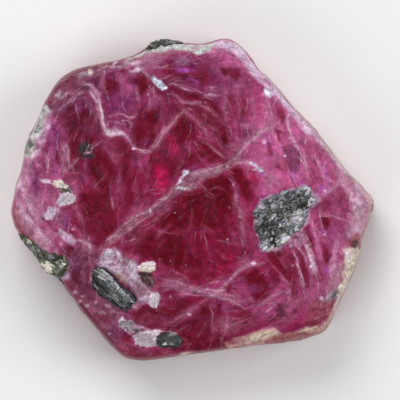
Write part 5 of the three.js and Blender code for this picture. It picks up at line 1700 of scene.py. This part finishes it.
class CrystalScatter:
    """A node tree that grows crystals over a surface: plates that lie on it, or laths along a line."""

    SIZES = ("Spacing", "Length", "Width", "Thickness", "Turn", "Spread", "Tilt", "Lie", "Corner")
    CLOSEST_PACKING = 4.0e8

    def __init__(self, name: str, seed: int) -> None:
        """Builds the tree with its named inputs.

        Args:
            name: The tree's name.
            seed: The fixed seed of its random places, turns and sizes.
        """
        self.tree = bpy.data.node_groups.new(name, "GeometryNodeTree")
        self.sockets: dict[str, str] = {}
        self.add_input("Surface", "NodeSocketGeometry")
        for size in self.SIZES:
            self.add_input(size, "NodeSocketFloat")
        self.add_input("Sides", "NodeSocketInt")
        self.add_input("Finish", "NodeSocketMaterial")
        self.tree.interface.new_socket("Crystals", in_out="OUTPUT", socket_type="NodeSocketGeometry")
        self.fill(self.tree, seed)

    def add_input(self, name: str, kind: str) -> None:
        """Adds a named input to the tree, and keeps its identifier."""
        socket = self.tree.interface.new_socket(name, in_out="INPUT", socket_type=kind)
        self.sockets[name] = socket.identifier

    def fill(self, tree: Tree, seed: int) -> None:
        """Adds the tree's nodes.

        Args:
            tree: The tree, with its inputs and its output.
            seed: The fixed seed.
        """
        given = add_node(tree, "NodeGroupInput").outputs
        prism = add_node(tree, "GeometryNodeMeshCylinder", {
            "Vertices": given["Sides"], "Radius": 0.5, "Depth": 1.0,
        })
        lie = add_node(tree, "ShaderNodeCombineXYZ", {"Y": given["Lie"], "Z": given["Corner"]}).outputs[0]
        laid = add_node(tree, "GeometryNodeTransform", {"Geometry": prism.outputs["Mesh"], "Rotation": lie})
        size = add_node(tree, "ShaderNodeCombineXYZ", {
            "X": given["Length"], "Y": given["Width"], "Z": given["Thickness"],
        }).outputs[0]
        crystal = add_node(tree, "GeometryNodeTransform", {"Geometry": laid.outputs[0], "Scale": size})
        places = add_node(tree, "GeometryNodeDistributePointsOnFaces", {
            "Mesh": given["Surface"], "Distance Min": given["Spacing"], "Density Max": self.CLOSEST_PACKING,
            "Seed": seed,
        }, distribute_method="POISSON").outputs
        turn = add_node(tree, "ShaderNodeCombineXYZ", {"Z": given["Turn"]}).outputs[0]
        upright = add_node(tree, "FunctionNodeEulerToRotation", {"Euler": turn}).outputs[0]
        aligned = add_node(tree, "FunctionNodeAlignRotationToVector", {
            "Rotation": upright, "Vector": places["Normal"],
        }, axis="Z").outputs[0]

        # Each crystal leans and turns either way by up to the tilt and the spread, and has its own size.
        ranges: list[tuple[Socket | float, Socket | float]] = []
        for limit in (given["Tilt"], given["Tilt"], given["Spread"]):
            least = add_node(tree, "ShaderNodeMath", {0: limit, 1: -1.0}, operation="MULTIPLY").outputs[0]
            ranges.append((least, limit))
        ranges.extend(((0.6, 1.2), (0.6, 1.3), (0.7, 1.3), (0.0, 1.0)))
        *drawn, chance = (
            add_node(tree, "FunctionNodeRandomValue", {
                RANDOM_MIN: low, RANDOM_MAX: high, "Seed": seed + number,
            }, data_type="FLOAT").outputs[RANDOM_VALUE]
            for number, (low, high) in enumerate(ranges, start=1)
        )
        lean, scale = (
            add_node(tree, "ShaderNodeCombineXYZ", dict(zip("XYZ", three))).outputs[0]
            for three in (drawn[:3], drawn[3:])
        )
        leaning = add_node(tree, "FunctionNodeEulerToRotation", {"Euler": lean}).outputs[0]
        turned = add_node(tree, "FunctionNodeRotateRotation", {
            "Rotation": aligned, "Rotate By": leaning,
        }, rotation_space="LOCAL").outputs[0]
        placed = add_node(tree, "GeometryNodeInstanceOnPoints", {
            "Points": places["Points"], "Instance": crystal.outputs[0], "Rotation": turned, "Scale": scale,
        }).outputs[0]

        # Painted highlights: few crystals face the light, and those are painted the palest.
        pale = add_node(tree, "GeometryNodeInputNamedAttribute", {"Name": "pale"}, data_type="FLOAT")
        rare = add_node(tree, "ShaderNodeMath", {0: chance, 1: 3.0}, operation="POWER").outputs[0]
        shade = add_node(tree, "ShaderNodeMath", {
            0: rare, 1: 0.55, 2: pale.outputs[0],
        }, operation="MULTIPLY_ADD").outputs[0]
        shaded = add_node(tree, "GeometryNodeStoreNamedAttribute", {
            "Geometry": placed, "Name": "shade", "Value": shade,
        }, domain="INSTANCE", data_type="FLOAT").outputs[0]
        real = add_node(tree, "GeometryNodeRealizeInstances", {"Geometry": shaded}).outputs[0]
        finished = add_node(tree, "GeometryNodeSetMaterial", {"Geometry": real, "Material": given["Finish"]})
        add_node(tree, "NodeGroupOutput", {"Crystals": finished.outputs[0]})

    def grow(self, name: str, surface: bpy.types.Mesh, sizes: dict[str, float | int],
             finish: bpy.types.Material) -> bpy.types.Object:
        """Grows crystals over a surface as one plain mesh.

        Args:
            name: The new object's name.
            surface: The mesh that the crystals grow on, which isn't kept.
            sizes: The value of each of the tree's sizes, in metres or radians, and the crystals' sides.
            finish: The crystals' material.

        Returns:
            The crystals' object.
        """
        host = bpy.data.objects.new(name + "_bed", surface)
        bpy.context.scene.collection.objects.link(host)
        modifier = host.modifiers.new("crystals", "NODES")
        modifier.node_group = self.tree
        for size, value in sizes.items():
            modifier[self.sockets[size]] = value
        modifier[self.sockets["Finish"]] = finish
        graph = bpy.context.evaluated_depsgraph_get()
        mesh = bpy.data.meshes.new_from_object(host.evaluated_get(graph), depsgraph=graph)
        bpy.data.objects.remove(host)
        mesh.name = name
        crystals = bpy.data.objects.new(name, mesh)
        bpy.context.scene.collection.objects.link(crystals)
        return crystals


@dataclass(frozen=True)
class CrystalPatch:
    """A patch of crystals grown through the stone's skin, inside an outline on the plan.

    The turn, the tilt and the spread are in degrees. The sizes are a crystal's length, width and thickness,
    and they, the spacing, the lift and the depth to which the patch reaches are in millimetres. The patch's
    edge is ragged by that many plan steps, and its crystals' paleness, partly painted highlights and shade,
    is drawn in marks and mottled.
    """

    name: str
    outline: Path
    turn: float
    sizes: Triple
    spacing: float
    tilt: float
    spread: float
    laths: bool = False
    lift: float = 0.0
    pale: tuple[Mark, ...] = ()
    ragged: float = 2.0
    depth: float = 1.0
    mottle: float = 0.0
    sides: int = 6

    def bed(self, skin: Skin) -> bpy.types.Mesh:
        """Cuts the patch out of the stone's skin.

        Args:
            skin: The stone's skin.

        Returns:
            The mesh that the crystals grow on, with their paleness over it.
        """
        noise = Noise(SEED)
        plan = plan_of(skin.points[:, :2])
        shift = [noise(skin.points + place, 0.3, 2) for place in (0.0, 9.0)]
        jagged = plan + self.ragged * np.stack(shift, axis=1)
        inside = Patch(Tone.MICA, 1.0, self.outline, 0.5).cover(jagged) > 0.5
        inside &= skin.points[:, 2] > THICKNESS - self.depth * (1.0 + 0.4 * noise(skin.points, 0.6, 2))
        faces = skin.faces[inside[skin.faces].all(axis=1)]
        used, numbers = np.unique(faces, return_inverse=True)
        lifted = skin.points[used] + self.lift * skin.outward[used]
        mesh = bpy.data.meshes.new(self.name + "_bed")
        mesh.from_pydata((lifted * MM).tolist(), [], numbers.reshape(-1, 3).tolist())
        pale = mesh.attributes.new("pale", "FLOAT", "POINT")
        mottling = self.mottle * noise(skin.points[used], 0.4, 2)
        pale.data.foreach_set("value", sum((mark.cover(plan[used]) for mark in self.pale), mottling))
        return mesh

    def build(self, scatter: CrystalScatter, skin: Skin, finish: bpy.types.Material) -> bpy.types.Object:
        """Grows the patch's crystals.

        Args:
            scatter: The node tree that grows them.
            skin: The stone's skin.
            finish: The crystals' material.

        Returns:
            The crystals' object.
        """
        length, width, thickness = self.sizes
        return scatter.grow(self.name, self.bed(skin), {
            "Spacing": self.spacing * MM, "Length": length * MM, "Width": width * MM,
            "Thickness": thickness * MM, "Turn": math.radians(self.turn), "Spread": math.radians(self.spread),
            "Tilt": math.radians(self.tilt), "Lie": math.pi / 2 if self.laths else 0.0,
            "Corner": math.pi / 4 if self.sides == 4 else 0.0, "Sides": self.sides,
        }, finish)


@dataclass(frozen=True)
class FeldsparPatch(CrystalPatch):
    """A patch of feldspar: square blocks, set a little into the skin."""

    lift: float = -0.01
    ragged: float = 1.5
    mottle: float = 0.2
    sides: int = 4


CLUSTER = (
    "259,208 262,201 270,198 276,198 282,193 286,191 292,192 296,189 302,187 307,190 310,194 311,200 313,203 "
    "308,208 305,213 305,220 302,225 298,229 293,232 288,236 286,240 281,243 276,245 270,249 265,249 262,245 "
    "263,240 260,234 257,228 259,222 257,216 258,211"
)
# How pale the cluster's crystals are: partly their own paler rim and lobes, partly painted highlights and
# shade.
CLUSTER_PALE_AND_SHADING = read_marks("""
    frost 4 .8: 296,187 302,186 307,189 311,194 312,200 313,204 309,209; 4 .6: 281,193 286,190 290,191; 3 .35:
    259,207 262,201 270,197 277,197; .5 2 [296,211 305,210 307,215 305,222 298,226 294,220]; .4 (301,212
    5,2.5); .3 2 [286,220 294,217 298,226 290,231 285,230]; .45 (266,247 6,4); .6 (273,218 1.8,4); .6 (281,224
    2,2); .4 (274,229 1.5,3); .5 (258,207 2.5,4); .6 (257,222 4,2.4 -30); .6 (258,234 2,2); .25 2 [288,192
    298,188 307,191 309,199 302,203 294,202 288,198]; -.9 .8 [291,193 294,193 300,198 299,200 295,198]; -.4
    (303,190 4,1.2 -20); -.9 1.2 [293,208 298,203 305,201 310,204 307,207 300,210]; .5 (282,240 5,2.2 15); .4
    (285,235 2.4,4 -20); .25 2 [270,200 279,198 282,202 276,208 270,206]; .2 (263,212 3,6); -.15 (284,212 6,8
    40); -.15 (267,226 7,9); -.8 1 [272,234 276,237 275,246 271,245]; .22 (284,216 40,40);
""")
BUNDLE = (
    "96,286 96,279 98,274 102,271 106,273 113,279 121,286 129,292 135,298 131,302 126,307 119,304 109,298 "
    "101,293"
)
# Painted highlights along the bundle's silvery streaks, and painted shade: a near black line down its right
# side.
BUNDLE_PALE_AND_SHADING = read_marks("""
    frost 5 .35: 100,270 108,276 118,288 127,300; 2 .45: 112,280 119,289 125,297; 2.4 -.7: 114,279 122,286
    130,293 138,300; .7 (134,301 5,2.6); 4 .4: 108,296 116,303 124,309; -.1 (98,288 7,10 -30); .3 (104,275 6,5
    -40); .12 (108,284 40,40);
""")
LOWER = "158,337 166,335 173,334 178,339 178,344 173,347 165,347 160,345"
LOWER_PALE = read_marks("frost 2.5 .4: 164,335 171,334 177,338; .2 (170,341 4,3);")
# Weathered mica in olive; its palest colours are painted highlights, as in the dark mica.
OLIVE_MICA = MicaFinish("mica_olive_weathered", (
    (0.2, "#15170f"), (0.45, "#2e3224"), (0.75, "#5e624a"), (1.0, "#98967c"), (1.3, "#dcd8c6"),
))
WALL_MICA = "10,232 28,238 40,248 52,256 62,256 68,262 66,269 60,280 40,280 22,264 8,246"
# How pale the wall's mica is: a cream-white patch and a streak of its own, and painted highlights at 29,242
# and 62,265.
WALL_PALE_AND_GLINTS = read_marks("""
    frost .9 [43,262 49,260 54,264 54,271 48,272 43,268]; .7 (29,242 3,1.6 -30); .6 (62,265 2.6,4);
    2 .3: 20,238 32,243 42,252 54,257; .1 (40,256 40,30);
""")
TOP_MICA = "142,30 182,26 181,42 172,44 162,45 152,48 145,50"
CREAMY = read_marks("cream .5 (200,200 400,400);")

MICA_PATCHES = (
    CrystalPatch("mica_cluster", CLUSTER, 41.0, (0.5, 0.2, 0.09), 0.11, 30.0, 26.0,
                 lift=0.08, pale=CLUSTER_PALE_AND_SHADING, mottle=0.2),
    CrystalPatch("mica_glitter", CLUSTER, 41.0, (0.24, 0.07, 0.04), 0.2, 40.0, 40.0,
                 lift=0.16, pale=CLUSTER_PALE_AND_SHADING, ragged=3.0, mottle=0.2),
    CrystalPatch("hornblende_bundle", BUNDLE, -43.0, (0.6, 0.1, 0.1), 0.085, 8.0, 10.0,
                 laths=True, lift=0.1, pale=BUNDLE_PALE_AND_SHADING, ragged=1.5, mottle=0.1),
    CrystalPatch("hornblende_lower", LOWER, -4.0, (0.6, 0.3, 0.1), 0.13, 12.0, 24.0,
                 lift=0.05, pale=LOWER_PALE, ragged=1.0),
)
RIND_PATCHES = (
    CrystalPatch("mica_wall", WALL_MICA, -40.0, (0.42, 0.2, 0.08), 0.15, 16.0, 60.0,
                 lift=0.02, pale=WALL_PALE_AND_GLINTS, depth=2.0, mottle=0.15),
    CrystalPatch("mica_top", TOP_MICA, 5.0, (0.5, 0.26, 0.08), 0.15, 20.0, 60.0,
                 lift=0.04, ragged=1.5, depth=1.6),
)
FELDSPAR_PATCHES = (
    FeldsparPatch("feldspar_cream", "139,266 144,264 154,263 154,268 150,271 144,270", 8.0,
                  (0.42, 0.2, 0.1), 0.2, 4.0, 10.0, lift=-0.02, pale=CREAMY, ragged=0.5, mottle=0.0),
    FeldsparPatch("feldspar_corner", "152,294 157,293 160,298 157,306 152,305", -70.0,
                  (0.3, 0.18, 0.08), 0.15, 7.0, 22.0),
    FeldsparPatch("feldspar_lower", "135,335 146,333 157,337 156,346 144,346 136,342", 6.0,
                  (0.4, 0.2, 0.08), 0.18, 6.0, 18.0, lift=-0.02),
    FeldsparPatch("feldspar_upper", "106,251 113,250 112,258 106,256", 12.0,
                  (0.24, 0.16, 0.08), 0.12, 10.0, 24.0, ragged=2.0),
    FeldsparPatch("feldspar_left", "59,196 66,193 74,195 73,201 64,205 58,202", 24.0,
                  (0.34, 0.18, 0.08), 0.16, 7.0, 20.0),
    FeldsparPatch("feldspar_left_low", "49,208 56,210 53,218 47,216", 65.0,
                  (0.34, 0.18, 0.08), 0.16, 7.0, 20.0),
    FeldsparPatch("feldspar_left_cream", "54,181 60,181 68,186 66,189 55,184", -30.0,
                  (0.26, 0.14, 0.08), 0.11, 8.0, 20.0, pale=CREAMY, ragged=1.0, mottle=0.0),
)


# ---- Studio ------------------------------------------------------------------------------------------------


@dataclass(frozen=True)
class Lamp:
    """A square soft light that faces the stone: its place and its side in metres, and its power in watts."""

    name: str
    place: Triple
    power: float
    size: float = 0.26

    def build(self) -> None:
        """Adds the light to the scene."""
        light = bpy.data.lights.new(self.name, "AREA")
        light.size = self.size
        light.energy = self.power
        lamp = bpy.data.objects.new(self.name, light)
        lamp.location = self.place
        lamp.rotation_euler = Vector(self.place).to_track_quat("Z", "Y").to_euler()
        bpy.context.scene.collection.objects.link(lamp)


@dataclass(frozen=True)
class Studio:
    """A pale floor, soft lights and a camera that looks straight down on the front."""

    floor_size: float = 0.8
    room_colour: str = "#eef0f4"
    room_light: float = 0.3
    camera_height: float = 0.2
    sensor_width: float = 36.0
    nearest_seen: float = 0.01
    view_width_mm: float = 20.0
    aim_mm: Pair = (0.375, -0.025)
    lamps: tuple[Lamp, ...] = (
        Lamp("key", (-0.12, 0.28, 0.24), 0.98), Lamp("side", (0.32, 0.04, 0.22), 0.72),
        Lamp("fill", (-0.22, -0.24, 0.2), 0.48),
    )

    def build(self) -> None:
        """Builds the floor, the lights, the room and the camera."""
        half = self.floor_size / 2
        mesh = bpy.data.meshes.new("floor")
        square = [(-half, -half, 0), (half, -half, 0), (half, half, 0), (-half, half, 0)]
        mesh.from_pydata(square, [], [(0, 1, 2, 3)])
        mesh.materials.append(FloorFinish().build())
        floor = bpy.data.objects.new("floor", mesh)
        bpy.context.scene.collection.objects.link(floor)
        for lamp in self.lamps:
            lamp.build()
        room = bpy.data.worlds.new("soft_room")
        room.use_nodes = True
        background = room.node_tree.nodes["Background"]
        background.inputs["Color"].default_value = linear(self.room_colour)
        background.inputs["Strength"].default_value = self.room_light
        bpy.context.scene.world = room
        bpy.context.scene.view_settings.view_transform = "Standard"
        self.place_camera()

    def place_camera(self) -> None:
        """Places the camera over the stone, so that its picture is as wide as the view at the front."""
        lens = bpy.data.cameras.new("camera")
        lens.sensor_width = self.sensor_width
        lens.lens = self.sensor_width * (self.camera_height - THICKNESS * MM) / (self.view_width_mm * MM)
        lens.clip_start = self.nearest_seen
        camera = bpy.data.objects.new("camera", lens)
        camera.location = (self.aim_mm[0] * MM, self.aim_mm[1] * MM, self.camera_height)
        bpy.context.scene.collection.objects.link(camera)
        bpy.context.scene.camera = camera


def main() -> None:
    """Builds the stone and its studio, and says what was built."""
    logging.basicConfig(level=logging.INFO, format="%(name)s: %(message)s")
    Studio().build()
    body, skin = RubyBody(StoneShape()).build(RubyFinish().build())
    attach(body, BODY)
    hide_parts("ruby_slice")
    LOG.info("%s: %d triangles", body.name, len(body.data.polygons))
    scatter = CrystalScatter("crystal_scatter", SEED)
    for slot, finish, patches in (
        ("mica", MicaFinish().build(), MICA_PATCHES), ("mica", OLIVE_MICA.build(), RIND_PATCHES),
        ("feldspar", FeldsparFinish().build(), FELDSPAR_PATCHES),
    ):
        for patch in patches:
            crystals = patch.build(scatter, skin, finish)
            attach(crystals, BODY)
            LOG.info("%s: %d faces", crystals.name, len(crystals.data.polygons))


if __name__ == "__main__":
    main()
